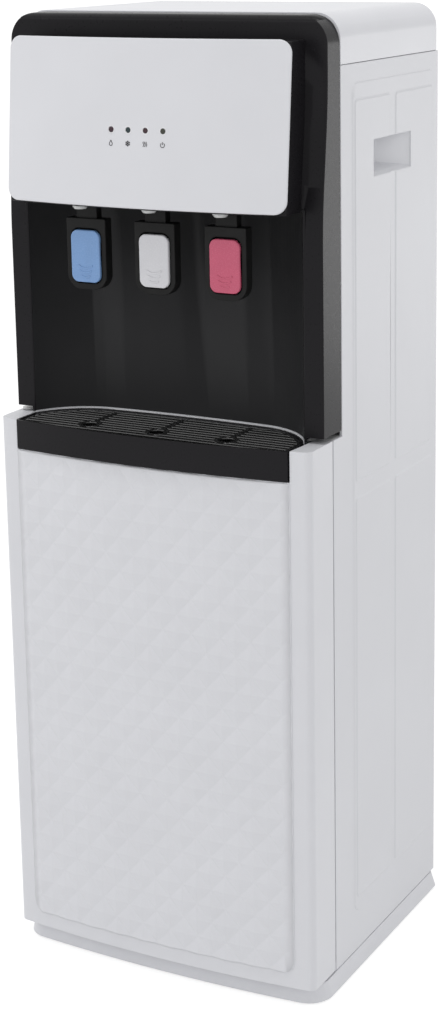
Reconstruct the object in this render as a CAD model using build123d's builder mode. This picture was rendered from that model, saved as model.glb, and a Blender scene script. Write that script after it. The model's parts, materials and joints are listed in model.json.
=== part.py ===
from build123d import *
import os
from math import atan2, degrees, hypot

# Bottom load water cooler, in millimetres. X runs to the right as seen from the front, Y to the rear, Z up.
# The origin is on the floor below the middle of the whole outline.

os.makedirs("parts", exist_ok=True)

# Overall
cabinet_width = 360.0
cabinet_height = 1010.0
overall_depth = 330.0
dispenser_height = 415.5  # from the door's top to the cabinet's
wall = 3.0
gap = 0.3  # between neighbours that move apart

half_width = cabinet_width / 2
back_y = overall_depth / 2
front_y = -overall_depth / 2
ledge_z = cabinet_height - dispenser_height

# Plinth and feet
foot_proud = 2.0
foot_height = 5.0
foot_radius = 14.0
plinth_lip = 4.0  # how far the plinth stands out beside the cabinet
plinth_height = 18.5
plinth_setback = 17.0
plinth_bulge = 9.0
plinth_corner = 28.0
plinth_flare = 4.0
seat_height = 1.5
seat_inset = 1.6
plinth_z = foot_proud
plinth_deck_z = plinth_z + plinth_height
seat_z = plinth_deck_z + seat_height

# Door
door_setback = 6.0
door_bulge = 9.7
door_wrap = 50.3
seam_gap = 2.5
door_lift = 3.0  # gap between plinth and door
door_corner = 8.0
door_depth = 33.0  # from the crown to the liner's face
field_proud = 0.8
field_margin_z = 15.5
field_corner = 14.0
hinge_radius = 8.0
pin_radius = 3.0
bush_radius = 5.0
bush_length = 18.0
running_fit = 0.06
hinge_plate = 1.6
liner_thickness = 2.5
liner_rim = 11.0
liner_rib_count = 3
catch_z = 315.0
catch_height = 34.0
catch_inset = 16.0  # from the door's free edge to the middle of the catch
door_crown_y = front_y + door_setback
door_corner_y = door_crown_y + door_bulge
door_rear_y = door_corner_y + door_wrap
door_z = plinth_deck_z + door_lift
liner_y = door_crown_y + door_depth
pin_x = -half_width + hinge_radius
pin_y = door_rear_y - hinge_radius

# Drip tray and grille
tray_height = 30.8
tray_side_gap = 0.5
tray_bulge = 11.4
tray_wall = 2.5
tray_gap = 0.8
tray_rear_gap = 2.7
grille_thickness = 3.2
grille_drop = 0.8
slat_width = 4.2
slat_count = 9
slat_setback = 16.0
slat_pitch = 8.2
ring_radius = 13.0
ring_bore = 8.0
rib_width = 7.0
alcove_margin = 22.0  # from the cabinet's side to the alcove
alcove_half = half_width - alcove_margin
tray_half = alcove_half - tray_side_gap
tray_z = ledge_z - tray_height
slat_first_y = front_y + slat_setback
notch_z = tray_z - 0.7
notch_radius = hypot(tray_half + tray_gap - pin_x, front_y + tray_bulge - pin_y)

# Bezel and alcove
bezel_setback = 32.3
bezel_wrap = 40.0
bezel_inset = 0.7
bezel_lift = 6.0
bezel_lean = 13.0
lean_drop = (220.0, 55.0)  # the lean starts and ends this far below the cabinet's top
bezel_corner = 28.0
bezel_nose = 8.0
alcove_depth = 97.4
alcove_lift = 1.2  # from the mid deck's ledge up to the alcove's lower edge
shoulder_inset = (61.0, 3.4)  # from the alcove's side and from its back
knee_inset = (24.0, 18.9)
alcove_back_y = front_y + alcove_depth
alcove_shoulder = (alcove_half - shoulder_inset[0], alcove_back_y - shoulder_inset[1])
alcove_knee = (alcove_half - knee_inset[0], alcove_back_y - knee_inset[1])
lean_start_z = cabinet_height - lean_drop[0]
lean_end_z = cabinet_height - lean_drop[1]
bezel_front_y = door_corner_y + bezel_setback
bezel_rear_y = bezel_front_y + bezel_wrap
bezel_z = ledge_z + bezel_lift
bezel_top_z = cabinet_height - 1.5
bezel_half = half_width - bezel_inset

# Display panel
panel_height = 163.5
panel_drop = 22.5  # from the cabinet's top to the panel's
panel_bulge = 13.7
panel_lean = 15.6
panel_thickness = 3.0
panel_corner = 13.0
panel_half = alcove_half
panel_z = cabinet_height - panel_drop - panel_height
box_margin = 2.0  # the black box behind the panel is this much smaller all round
lens_count = 4
lens_pitch = 19.4
lens_rise = 75.7  # above the panel's lower edge
lens_radius = 2.7
board_setback = 12.5
lens_z = panel_z + lens_rise

# Taps
tap_pitch = 80.0
tap_setback = 27.0
nozzle_radius = 8.0
nozzle_bore = 4.0
nozzle_reach = 7.0  # below the display panel
tube_outer = 4.0  # radius of the water tubes
frame_width = 46.0
frame_depth = 12.0
frame_height = 73.0
frame_drop = 18.0  # below the display panel
frame_setback = 35.5
frame_corner = 16.0
neck_width = 24.0
pocket_back = 2.0
paddle_width = 33.8
paddle_height = 53.4
paddle_rise = 7.7  # above the frame's lower edge
paddle_proud = 2.5
paddle_thickness = 3.5
paddle_corner = 8.0
paddle_clear = 0.8
paddle_pin_radius = 1.5
paddle_pin_drop = 5.1
taps = {"cold": -tap_pitch, "room": 0.0, "hot": tap_pitch}
tap_y = front_y + tap_setback
nozzle_tip_z = panel_z - nozzle_reach
frame_top_z = panel_z - frame_drop
frame_bottom_z = frame_top_z - frame_height
frame_front_y = front_y + frame_setback
paddle_bottom_z = frame_bottom_z + paddle_rise

# Side panels and top cover
cover_height = 49.5
cover_corner = 25.0
cover_edge = 6.0
seam_step = 0.5
flange_width = 15.5
flange_thickness = 2.5
emboss = 0.8
field_margin_y = (44.5, 11.8)  # from the side panel's front and rear edges
field_bottom_z = 65.0
field_drop = 18.5  # below the cover's seam
field_radius = 13.0
mid_rib_drop = 64.0  # below the door's top
mid_rib_width = 17.0
rib_setback = 120.0  # from the rear edge
rib_gap = 12.0
inner_margin = (5.0, 17.0)  # at the sides, and at the top and the bottom
inner_radius = 4.5
handle_width = 92.7
handle_height = 35.5
handle_setback = 75.6  # from the rear edge
handle_drop = 128.0  # from the cabinet's top
handle_depth = 23.0
handle_slope = 56.0  # the part of the width where the recess runs out to the rear

# Back and machinery
rear_setback = 15.0
sheet = 1.2
deck_drop = 42.5  # below the door's top
deck_thickness = 4.0
machine_height = 189.0  # from the mid deck to the tank shelf
shelf_thickness = 1.5
shelf_gap = 14.6  # from the alcove's wall to the shelf
rear_lid = 4.0  # how far the rear panel ends below the side panels
side_front_y = door_rear_y + seam_gap
inner_half = half_width - wall
rear_panel_y = back_y - rear_setback
alcove_wall_y = alcove_back_y + wall
deck_back_y = alcove_back_y + 3 * wall + gap
deck_z = ledge_z - deck_drop
deck_top_z = deck_z + deck_thickness
shelf_z = deck_top_z + machine_height
shelf_top_z = shelf_z + shelf_thickness
shelf_front_y = alcove_wall_y + shelf_gap
cover_seam_z = cabinet_height - cover_height
field_front_y = side_front_y + field_margin_y[0]
field_rear_y = back_y - field_margin_y[1]
field_top_z = cover_seam_z - field_drop
mid_rib_z = ledge_z - mid_rib_drop
rib_y = back_y - rib_setback
handle_y = (back_y - handle_setback - handle_width, back_y - handle_setback)
handle_z = (cabinet_height - handle_drop - handle_height, cabinet_height - handle_drop)

# Tanks, from the room between the alcove, the rear panel and the handle pockets
foam_wall = 12.0
foam_margin = 18.0  # before and behind the cold tank
line_room = 18.0  # behind the foam, for the copper lines
tap_line_room = 28.6  # before the foam, for the tubes to the taps
pocket_clear = 6.0
tank_gap = 2.0  # from the hot tank to the handle pocket
riser_gap = 14.0  # from the foam to the middle of the pump's tube
hot_gap = 18.0  # from the middle of that tube to the hot tank
hot_offset = 6.0
tank_wall = 1.2
foam_drop = 80.0  # from the cabinet's top to the top of the foam
pocket_inner_x = half_width - handle_depth - wall
foam_front_y = alcove_wall_y + tap_line_room
foam_rear_y = rear_panel_y - line_room
tank_radius = (foam_rear_y - foam_front_y) / 2 - foam_margin
tank_x = pocket_inner_x - pocket_clear - foam_wall - tank_radius
tank_y = (foam_front_y + foam_rear_y) / 2
foam_left_x = tank_x - tank_radius - 2 * foam_wall
foam_z = (shelf_top_z, cabinet_height - foam_drop)
riser_x = foam_left_x - riser_gap
hot_radius = (riser_x - hot_gap + pocket_inner_x - tank_gap) / 2
hot_x = riser_x - hot_gap - hot_radius
hot_y = tank_y - hot_offset
hot_height = 150.0
hot_z = (shelf_top_z, shelf_top_z + hot_height)


def facing_front(y):
    """Plane across the cabinet: its x is X, its y is Z, and an extrusion goes to the front."""
    return Plane(origin=(0, y, 0), x_dir=(1, 0, 0), z_dir=(0, -1, 0))


def facing_right(x):
    """Plane along the cabinet: its x is Y, its y is Z, and an extrusion goes to the right."""
    return Plane(origin=(x, 0, 0), x_dir=(0, 1, 0), z_dir=(1, 0, 0))


def block(x, y, z, mode=Mode.ADD):
    """A box between low and high values, for the part in progress."""
    with Locations(((x[0] + x[1]) / 2, (y[0] + y[1]) / 2, (z[0] + z[1]) / 2)):
        Box(x[1] - x[0], y[1] - y[0], z[1] - z[0], mode=mode)


def post(x, y, z, radius, mode=Mode.ADD):
    """An upright cylinder between two heights."""
    with Locations((x, y, z[0])):
        Cylinder(radius, z[1] - z[0], align=(Align.CENTER, Align.CENTER, Align.MIN), mode=mode)


def rod_y(x, y, z, radius, mode=Mode.ADD):
    """A cylinder that runs from front to rear."""
    with Locations(Location((x, y[0], z), (-90, 0, 0))):
        Cylinder(radius, y[1] - y[0], align=(Align.CENTER, Align.CENTER, Align.MIN), mode=mode)


def rod_x(x, y, z, radius, mode=Mode.ADD):
    """A cylinder that runs from left to right."""
    with Locations(Location((x[0], y, z), (0, 90, 0))):
        Cylinder(radius, x[1] - x[0], align=(Align.CENTER, Align.CENTER, Align.MIN), mode=mode)


def bowed_face(half, crown_y, bulge, rear_y, mode=Mode.ADD):
    """A rectangle whose front side is an arc, for the sketch in progress."""
    corner_y = crown_y + bulge
    with BuildLine() as outline:
        ThreePointArc((-half, corner_y), (0, crown_y), (half, corner_y))
        Polyline((half, corner_y), (half, rear_y), (-half, rear_y), (-half, corner_y))
    return make_face(outline.edges(), mode=mode)


def alcove_face(shift=0.0, mode=Mode.ADD):
    """Everything in front of the alcove's curved back, its curve moved forward by shift."""
    shoulder_x, shoulder_y = alcove_shoulder
    knee_x, knee_y = alcove_knee
    edge_y = bezel_front_y - shift
    with BuildLine() as outline:
        ThreePointArc(
            (alcove_half, edge_y), (knee_x, knee_y - shift), (shoulder_x, shoulder_y - shift)
        )
        ThreePointArc(
            (shoulder_x, shoulder_y - shift), (0, alcove_back_y - shift), (-shoulder_x, shoulder_y - shift)
        )
        ThreePointArc(
            (-shoulder_x, shoulder_y - shift), (-knee_x, knee_y - shift), (-alcove_half, edge_y)
        )
        Polyline(
            (-alcove_half, edge_y),
            (-alcove_half, 2 * front_y),
            (alcove_half, 2 * front_y),
            (alcove_half, edge_y),
        )
    return make_face(outline.edges(), mode=mode)


def tray_face(inset=0.0):
    """The drip tray's D shape: bowed front, straight sides, rear curve beside the alcove's back."""
    with BuildSketch() as shape:
        alcove_face(tray_rear_gap)
        bowed_face(tray_half, front_y, tray_bulge, 0, mode=Mode.INTERSECT)
        if inset:
            offset(amount=-inset, kind=Kind.INTERSECTION)
    return shape.sketch


def finish(part, name):
    part.label = name
    export_step(part, f"parts/{name}.step")


# ---------------------------------------------------------------- plinth and feet
upper_plate_z = ledge_z + 0.7
upper_anchor = (pin_x + 19, pin_y + 30)
lower_anchor = (pin_x + 29, pin_y + 2)
hinge_screw = 2.0
foot_inset = 34.0
foot_spots = [
    (x, y)
    for x in (-half_width + foot_inset, half_width - foot_inset)
    for y in (front_y + plinth_setback + foot_inset + plinth_bulge, back_y - foot_inset)
]
plinth_crown_y = front_y + plinth_setback
bottle_gap = 2.0
bottle_radius = (rear_panel_y - liner_y - bottle_gap) / 2
bottle_y = liner_y + bottle_radius + bottle_gap
recess_depth = 2.5

with BuildPart() as base_plinth:
    with BuildSketch(Plane.XY.offset(plinth_z)) as plinth_bottom:
        bowed_face(half_width + plinth_lip, plinth_crown_y, plinth_bulge, back_y)
        fillet(plinth_bottom.vertices().group_by(Axis.Y)[0], plinth_corner)
        fillet(plinth_bottom.vertices().group_by(Axis.Y)[-1], plinth_flare)
    with BuildSketch(Plane.XY.offset(plinth_deck_z)) as plinth_top:
        bowed_face(half_width, plinth_crown_y + plinth_flare, plinth_bulge, back_y - plinth_flare)
        fillet(plinth_top.vertices().group_by(Axis.Y)[0], plinth_corner - plinth_flare)
        fillet(plinth_top.vertices().group_by(Axis.Y)[-1], plinth_flare)
    loft(ruled=True)
    block(
        (-half_width + seat_inset, half_width - seat_inset),
        (side_front_y + seat_inset, back_y - plinth_flare - seat_inset),
        (plinth_deck_z, seat_z),
    )
    with BuildSketch(Plane.XY.offset(plinth_z)):
        bowed_face(
            half_width - 2 * wall,
            plinth_crown_y + plinth_flare + 2 * wall,
            plinth_bulge,
            back_y - 4 * wall,
        )
    extrude(amount=plinth_height - 3 * wall, mode=Mode.SUBTRACT)
    for x, y in foot_spots:
        post(x, y, (plinth_z, plinth_deck_z), foot_radius + wall)
    for x, y in foot_spots:
        post(x, y, (0, foot_height), foot_radius + 0.1, mode=Mode.SUBTRACT)
    post(0, bottle_y, (seat_z - recess_depth, seat_z + 1), bottle_radius + 1.0, mode=Mode.SUBTRACT)
    for x in (lower_anchor[0] - 8, lower_anchor[0] + 8):
        post(x, lower_anchor[1], (plinth_z, seat_z), hinge_screw + 0.02, mode=Mode.SUBTRACT)
finish(base_plinth.part, "base_plinth")

with BuildPart() as rubber_feet:
    for x, y in foot_spots:
        post(x, y, (0, foot_height), foot_radius)
    chamfer(rubber_feet.edges().group_by(Axis.Z)[0], 1.0)
finish(rubber_feet.part, "rubber_feet")

# ---------------------------------------------------------------- side panels
side_upper_y = bezel_rear_y + 0.8
side_top_z = cover_seam_z - seam_step
pocket_back_x = half_width - handle_depth
screw_head = 4.0
screw_shank = 1.8
screw_heights = [seat_z + 58 + i * (side_top_z - seat_z - 116) / 4 for i in range(5)]
with BuildPart() as right_side_panel:
    block((half_width - wall, half_width), (side_front_y, back_y), (seat_z, ledge_z))
    block((half_width - wall, half_width), (side_upper_y, back_y), (ledge_z, side_top_z))
    block(
        (half_width - wall - flange_width - 4, half_width),
        (side_front_y, side_front_y + wall),
        (seat_z, deck_z - 0.5),
    )
    block(
        (half_width - flange_width, half_width), (back_y - flange_thickness, back_y), (seat_z, side_top_z)
    )
    block((half_width - flange_width, half_width), (side_upper_y, back_y), (side_top_z - wall, side_top_z))
    for z in screw_heights:
        rod_y(half_width - flange_width / 2, (0, back_y), z, screw_head + 0.2, mode=Mode.SUBTRACT)
    with BuildSketch(facing_right(half_width)):
        with Locations(((field_front_y + field_rear_y) / 2, (field_bottom_z + field_top_z) / 2)):
            RectangleRounded(field_rear_y - field_front_y, field_top_z - field_bottom_z, field_radius)
    extrude(amount=emboss)
    columns = (
        (field_front_y + inner_margin[0], rib_y - rib_gap / 2),
        (rib_y + rib_gap / 2, field_rear_y - inner_margin[0]),
    )
    rows = (
        (field_bottom_z + inner_margin[1], mid_rib_z - mid_rib_width / 2),
        (mid_rib_z + mid_rib_width / 2, field_top_z - inner_margin[1]),
    )
    with BuildSketch(facing_right(half_width + emboss)):
        for y0, y1 in columns:
            for z0, z1 in rows:
                with Locations(((y0 + y1) / 2, (z0 + z1) / 2)):
                    RectangleRounded(y1 - y0, z1 - z0, inner_radius)
    extrude(amount=emboss)
    block(
        (pocket_back_x - wall, half_width),
        (handle_y[0] - wall, handle_y[1] + wall),
        (handle_z[0] - wall, handle_z[1] + 5 * wall),
    )
    face_x = half_width + 2 * emboss
    with BuildPart(mode=Mode.PRIVATE) as scoop:
        with BuildSketch(facing_front(handle_y[1])):
            with BuildLine():
                Polyline(
                    (face_x + 1, handle_z[0] - 2),
                    (half_width - 4, handle_z[0] + 2),
                    (pocket_back_x, handle_z[0] + 9),
                    (pocket_back_x, handle_z[1] + 4 * wall),
                    (pocket_back_x + 9, handle_z[1] + 4 * wall),
                    (half_width - 5, handle_z[1]),
                    (face_x + 1, handle_z[1]),
                    close=True,
                )
            make_face()
        extrude(amount=handle_y[1] - handle_y[0])
        with BuildSketch(Plane.XY.offset(handle_z[0] - handle_height)):
            with BuildLine():
                Polyline(
                    (half_width, handle_y[1]),
                    (half_width + 3, handle_y[1]),
                    (half_width + 3, handle_y[0]),
                    (pocket_back_x, handle_y[0]),
                    (pocket_back_x, handle_y[1] - handle_slope),
                )
                Spline(
                    (pocket_back_x, handle_y[1] - handle_slope),
                    (half_width - 7, handle_y[1] - 0.3 * handle_slope),
                    (half_width, handle_y[1]),
                    tangents=[(0.35, 1), (0.5, 1)],
                )
            make_face()
        extrude(amount=3 * handle_height, mode=Mode.INTERSECT)
    add(scoop.part, mode=Mode.SUBTRACT)
finish(right_side_panel.part, "right_side_panel")

with BuildPart() as left_side_panel:
    mirror(right_side_panel.part, about=Plane.YZ)
finish(left_side_panel.part, "left_side_panel")

# ---------------------------------------------------------------- top cover
pan_half = half_width - flange_width - 1.5
boss_spots = [
    (x, y)
    for x in (-half_width + flange_width / 2, half_width - flange_width / 2)
    for y in (side_upper_y + 14, back_y - 14)
]
with BuildPart() as top_cover:
    with BuildSketch(facing_front(back_y)) as cover_face:
        with Locations((0, (cover_seam_z + cabinet_height) / 2)):
            Rectangle(cabinet_width, cabinet_height - cover_seam_z)
        fillet(cover_face.vertices().group_by(Axis.Y)[-1], cover_corner)
    extrude(amount=back_y - side_upper_y)
    fillet(top_cover.faces().sort_by(Axis.Y)[-1].edges().sort_by(Axis.Z)[1:], cover_edge)
    with BuildSketch(facing_front(back_y - wall)) as cover_cavity:
        with Locations((0, (cover_seam_z + cabinet_height) / 2 - wall)):
            Rectangle(cabinet_width - 2 * wall, cabinet_height - cover_seam_z)
        fillet(cover_cavity.vertices().group_by(Axis.Y)[-1], cover_corner - wall)
    extrude(amount=2 * back_y, mode=Mode.SUBTRACT)
    block((-pan_half, pan_half), (back_y - wall, back_y), (side_top_z - rear_lid, cover_seam_z + 1))
    for x, y in boss_spots:
        post(x, y, (side_top_z, cabinet_height - cover_corner / 2), 4.5)
finish(top_cover.part, "top_cover")

# ---------------------------------------------------------------- bezel with the dispensing alcove
panel_plane = Plane(
    origin=(0, front_y, panel_z), x_dir=(1, 0, 0), z_dir=Vector(0, panel_lean, panel_height).normalized()
)
panel_run = 40.0  # the leaning solids start and end this far past the panel


def behind_display(depth, mode):
    """Everything behind the display's bowed, leaning face, set back by depth."""
    with BuildSketch(panel_plane.offset(-panel_run)) as section:
        run_bulge = panel_bulge * (1 + panel_run / panel_half) ** 2
        bowed_face(panel_half + panel_run, depth, run_bulge, 3 * panel_run)
    extrude(section.sketch, amount=panel_height + 2 * panel_run, mode=mode)


def bezel_profile(inset, rear_y):
    """The bezel's outline from the side: upright below, leaning back beside the display."""
    front = bezel_front_y + inset
    top_front = front + bezel_lean
    top = bezel_top_z - inset
    with BuildLine() as outline:
        Polyline((rear_y, bezel_z + inset), (front, bezel_z + inset), (front, lean_start_z))
        Spline((front, lean_start_z), (top_front, lean_end_z), tangents=((0, 1), (0, 1)))
        Line((top_front, lean_end_z), (top_front, top - bezel_nose))
        RadiusArc((top_front, top - bezel_nose), (top_front + bezel_nose, top), bezel_nose)
        Polyline((top_front + bezel_nose, top), (rear_y, top), (rear_y, bezel_z + inset))
    make_face(outline.edges())


def bezel_block(inset, rear_y):
    """The bezel's body without its alcove, smaller by inset on every side."""
    with BuildPart() as body:
        with BuildSketch(facing_right(-bezel_half + inset)):
            bezel_profile(inset, rear_y)
        extrude(amount=2 * (bezel_half - inset))
        with BuildSketch(facing_front(rear_y)) as front_view:
            with Locations((0, (bezel_z + bezel_top_z) / 2)):
                Rectangle(2 * (bezel_half - inset), bezel_top_z - bezel_z - 2 * inset)
            fillet(front_view.vertices().group_by(Axis.Y)[-1], bezel_corner - inset)
        extrude(amount=rear_y - 2 * front_y, mode=Mode.INTERSECT)
    return body.part


def display_box(inset, rear_y):
    """The box that carries the display panel in front of the bezel, smaller by inset."""
    side = panel_half - box_margin - inset
    with BuildPart() as box:
        block(
            (-side, side),
            (2 * front_y, rear_y),
            (panel_z - 1.5 + inset, panel_z + panel_height - box_margin - inset),
        )
        behind_display(panel_thickness + 0.2 + inset, Mode.INTERSECT)
    return box.part


box_floor_z = panel_z - 1.5
alcove_z = ledge_z + alcove_lift
with BuildPart() as alcove_shell:
    with BuildSketch(Plane.XY.offset(alcove_z)) as shell_plan:
        alcove_face()
        offset(amount=wall, kind=Kind.ARC)
        with Locations((0, bezel_front_y)):
            Rectangle(3 * cabinet_width, cabinet_width, align=(Align.CENTER, Align.MAX), mode=Mode.SUBTRACT)
    extrude(amount=box_floor_z + wall - alcove_z)

with BuildPart() as bezel_cavity:
    add(bezel_block(wall, back_y))
    add(display_box(wall, 0))
    add(alcove_shell.part, mode=Mode.SUBTRACT)

lens_spots = [(i - (lens_count - 1) / 2) * lens_pitch for i in range(lens_count)]
lens_face_y = front_y + panel_lean * (lens_z - panel_z) / panel_height
board_y = lens_face_y + board_setback
neck_rear_y = frame_front_y + frame_depth
with BuildPart() as front_bezel:
    add(bezel_block(0, bezel_rear_y))
    add(display_box(0, bezel_rear_y))
    add(alcove_shell.part)
    add(bezel_cavity.part, mode=Mode.SUBTRACT)
    with BuildSketch(Plane.XY.offset(alcove_z - 1)):
        alcove_face()
    extrude(amount=box_floor_z - alcove_z + 1, mode=Mode.SUBTRACT)
    for x in taps.values():
        post(x, tap_y, (box_floor_z - 1, box_floor_z + wall + 1), nozzle_radius + 0.4, mode=Mode.SUBTRACT)
        block(
            (x - neck_width / 2 - 0.4, x + neck_width / 2 + 0.4),
            (frame_front_y + 2.1, neck_rear_y + 0.4),
            (box_floor_z - 1, box_floor_z + wall + 1),
            mode=Mode.SUBTRACT,
        )
    for x in lens_spots:
        rod_y(x, (2 * front_y, board_y), lens_z, lens_radius + 0.4, mode=Mode.SUBTRACT)
finish(front_bezel.part, "front_bezel")

# ---------------------------------------------------------------- display panel, lenses and board
with BuildPart() as display_panel:
    with BuildSketch(facing_front(0)):
        with Locations((0, panel_z + panel_height / 2)):
            RectangleRounded(2 * panel_half, panel_height, panel_corner)
    extrude(amount=-2 * front_y)
    behind_display(0, Mode.INTERSECT)
    behind_display(panel_thickness, Mode.SUBTRACT)
    fillet(display_panel.faces().sort_by(Axis.Y)[0].outer_wire().edges(), 1.2)
    for x in lens_spots:
        rod_y(x, (2 * front_y, 0), lens_z, lens_radius + 0.1, mode=Mode.SUBTRACT)
finish(display_panel.part, "display_panel")

with BuildPart() as lamp_lenses:
    for x in lens_spots:
        rod_y(x, (lens_face_y - 0.4, board_y), lens_z, lens_radius)
        rod_y(x, (board_y - 2, board_y), lens_z, lens_radius + 1)
    fillet(lamp_lenses.edges().group_by(Axis.Y)[0], 0.9)
finish(lamp_lenses.part, "lamp_lenses")

with BuildPart() as control_board:
    block((-60, 60), (board_y, board_y + 1.6), (lens_z - 22, lens_z + 22))
    block((-50, -22), (board_y + 1.6, board_y + 11), (lens_z - 16, lens_z - 2))
    block((10, 26), (board_y + 1.6, board_y + 16), (lens_z - 18, lens_z + 2))
    block((34, 52), (board_y + 1.6, board_y + 14), (lens_z - 12, lens_z + 12))
    rod_y(-4, (board_y + 1.6, board_y + 14), lens_z + 8, 6)
    for x in (-54, 54):
        rod_y(x, (board_y - 1, board_y + 3), lens_z + 16, 1.6, mode=Mode.SUBTRACT)
    for x in (-tap_pitch / 2, tap_pitch / 2):
        block((x - 10, x + 10), (board_y, board_y + 1.6), (box_floor_z + wall, lens_z - 21))
finish(control_board.part, "control_board")

# ---------------------------------------------------------------- taps and paddles
pocket_half = paddle_width / 2 + paddle_clear
pocket_z = (paddle_bottom_z - 1.2, paddle_bottom_z + paddle_height + 1.6)
paddle_pin_z = paddle_bottom_z + paddle_height - paddle_pin_drop
paddle_pin_y = frame_front_y + 5.0
paddle_front_y = frame_front_y - paddle_proud
paddle_rear_y = paddle_front_y + paddle_thickness
pin_half = pocket_half + 2.0
tap_body_z = (box_floor_z + wall, box_floor_z + wall + 25)

tap_spots = [(x, 0, 0) for x in taps.values()]

with BuildPart() as frame_blank:
    with BuildSketch(facing_front(neck_rear_y)) as frame_outline:
        with Locations((0, (frame_top_z + frame_bottom_z) / 2)):
            Rectangle(frame_width, frame_top_z - frame_bottom_z)
        fillet(frame_outline.vertices().group_by(Axis.Y)[0], frame_corner)
        fillet(frame_outline.vertices().group_by(Axis.Y)[-1], 1.5)
    extrude(amount=frame_depth)
    fillet(frame_blank.faces().sort_by(Axis.Y)[0].edges(), 1.0)
    block(
        (-neck_width / 2, neck_width / 2),
        (frame_front_y + 2.5, neck_rear_y),
        (frame_top_z - 1, tap_body_z[0]),
    )
    with BuildSketch(facing_front(neck_rear_y - pocket_back)):
        with Locations((0, (pocket_z[0] + pocket_z[1]) / 2)):
            RectangleRounded(2 * pocket_half, pocket_z[1] - pocket_z[0], paddle_corner + paddle_clear)
    extrude(amount=frame_depth, mode=Mode.SUBTRACT)
    rod_x((-pin_half, pin_half), paddle_pin_y, paddle_pin_z, paddle_pin_radius, mode=Mode.SUBTRACT)

with BuildPart() as paddle_frames:
    with Locations(*tap_spots):
        add(frame_blank.part)
finish(paddle_frames.part, "paddle_frames")

for name, x in taps.items():
    with BuildPart() as paddle:
        with BuildSketch(facing_front(paddle_rear_y)):
            with Locations((x, paddle_bottom_z + paddle_height / 2)):
                RectangleRounded(paddle_width, paddle_height, paddle_corner)
        extrude(amount=paddle_thickness)
        fillet(paddle.faces().sort_by(Axis.Y)[0].edges(), 1.4)
        with BuildSketch(facing_front(paddle_front_y + 0.3)):
            for step, reach in enumerate((8.6, 7.2, 5.4)):
                rise = paddle_bottom_z + 17.5 - 5.2 * step
                with BuildLine() as smile:
                    ThreePointArc((x - reach, rise), (x, rise - reach / 3), (x + reach, rise))
                trace(smile.edges(), line_width=1.7)
        extrude(amount=0.9)
        for ear_x in (x - paddle_width / 4, x + paddle_width / 4):
            block(
                (ear_x - 2, ear_x + 2),
                (paddle_rear_y - 1, paddle_pin_y),
                (paddle_pin_z - 3, paddle_pin_z + 3),
            )
            rod_x((ear_x - 2, ear_x + 2), paddle_pin_y, paddle_pin_z, 3.0)
        rod_x(
            (x - paddle_width, x + paddle_width),
            paddle_pin_y,
            paddle_pin_z,
            paddle_pin_radius + running_fit,
            mode=Mode.SUBTRACT,
        )
    finish(paddle.part, f"paddle_{name}")

barb_z = tap_body_z[0] + 14
barb_y = neck_rear_y + 22
with BuildPart() as body_blank:
    block((-15, 15), (tap_y - nozzle_radius - 2, neck_rear_y + 2), tap_body_z)
    fillet(body_blank.edges().filter_by(Axis.Z), 3.0)
    rod_y(0, (neck_rear_y + 1, barb_y), barb_z, 6.0)
    rod_y(0, (neck_rear_y + 4, barb_y + 1), barb_z, tube_outer + 0.1, mode=Mode.SUBTRACT)
    post(0, tap_y, (tap_body_z[1] - 1, tap_body_z[1] + 9), 9.0)

with BuildPart() as tap_bodies:
    with Locations(*tap_spots):
        add(body_blank.part)
finish(tap_bodies.part, "tap_bodies")

with BuildPart() as nozzle_blank:
    with BuildSketch(facing_front(tap_y)):
        with BuildLine():
            Polyline(
                (nozzle_bore, nozzle_tip_z),
                (nozzle_radius - 1.8, nozzle_tip_z),
                (nozzle_radius, nozzle_tip_z + 2.5),
                (nozzle_radius, tap_body_z[0]),
                (nozzle_bore, tap_body_z[0]),
                close=True,
            )
        make_face()
    revolve(axis=Axis((0, tap_y, 0), (0, 0, 1)))

with BuildPart() as nozzles:
    with Locations(*tap_spots):
        add(nozzle_blank.part)
finish(nozzles.part, "nozzles")

with BuildPart() as paddle_pins:
    for x in taps.values():
        rod_x((x - pin_half, x + pin_half), paddle_pin_y, paddle_pin_z, paddle_pin_radius)
finish(paddle_pins.part, "paddle_pins")

switch_y = (neck_rear_y - pocket_back - 5.2, neck_rear_y - pocket_back)
with BuildPart() as paddle_switches:
    for x in taps.values():
        block((x - 7, x + 7), switch_y, (paddle_bottom_z + 20, paddle_bottom_z + 30))
finish(paddle_switches.part, "paddle_switches")

# ---------------------------------------------------------------- drip tray and grille
tray_lip = 1.8
tray_step = 4.0
grille_z = ledge_z - grille_drop - grille_thickness
with BuildPart() as drip_tray:
    with BuildSketch(Plane.XY.offset(tray_z)):
        add(tray_face())
    extrude(amount=tray_height)
    with BuildSketch(Plane.XY.offset(tray_z + tray_wall)):
        add(tray_face(tray_step))
    extrude(amount=tray_height, mode=Mode.SUBTRACT)
    with BuildSketch(Plane.XY.offset(grille_z)):
        add(tray_face(tray_lip))
    extrude(amount=tray_height, mode=Mode.SUBTRACT)
finish(drip_tray.part, "drip_tray")

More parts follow.
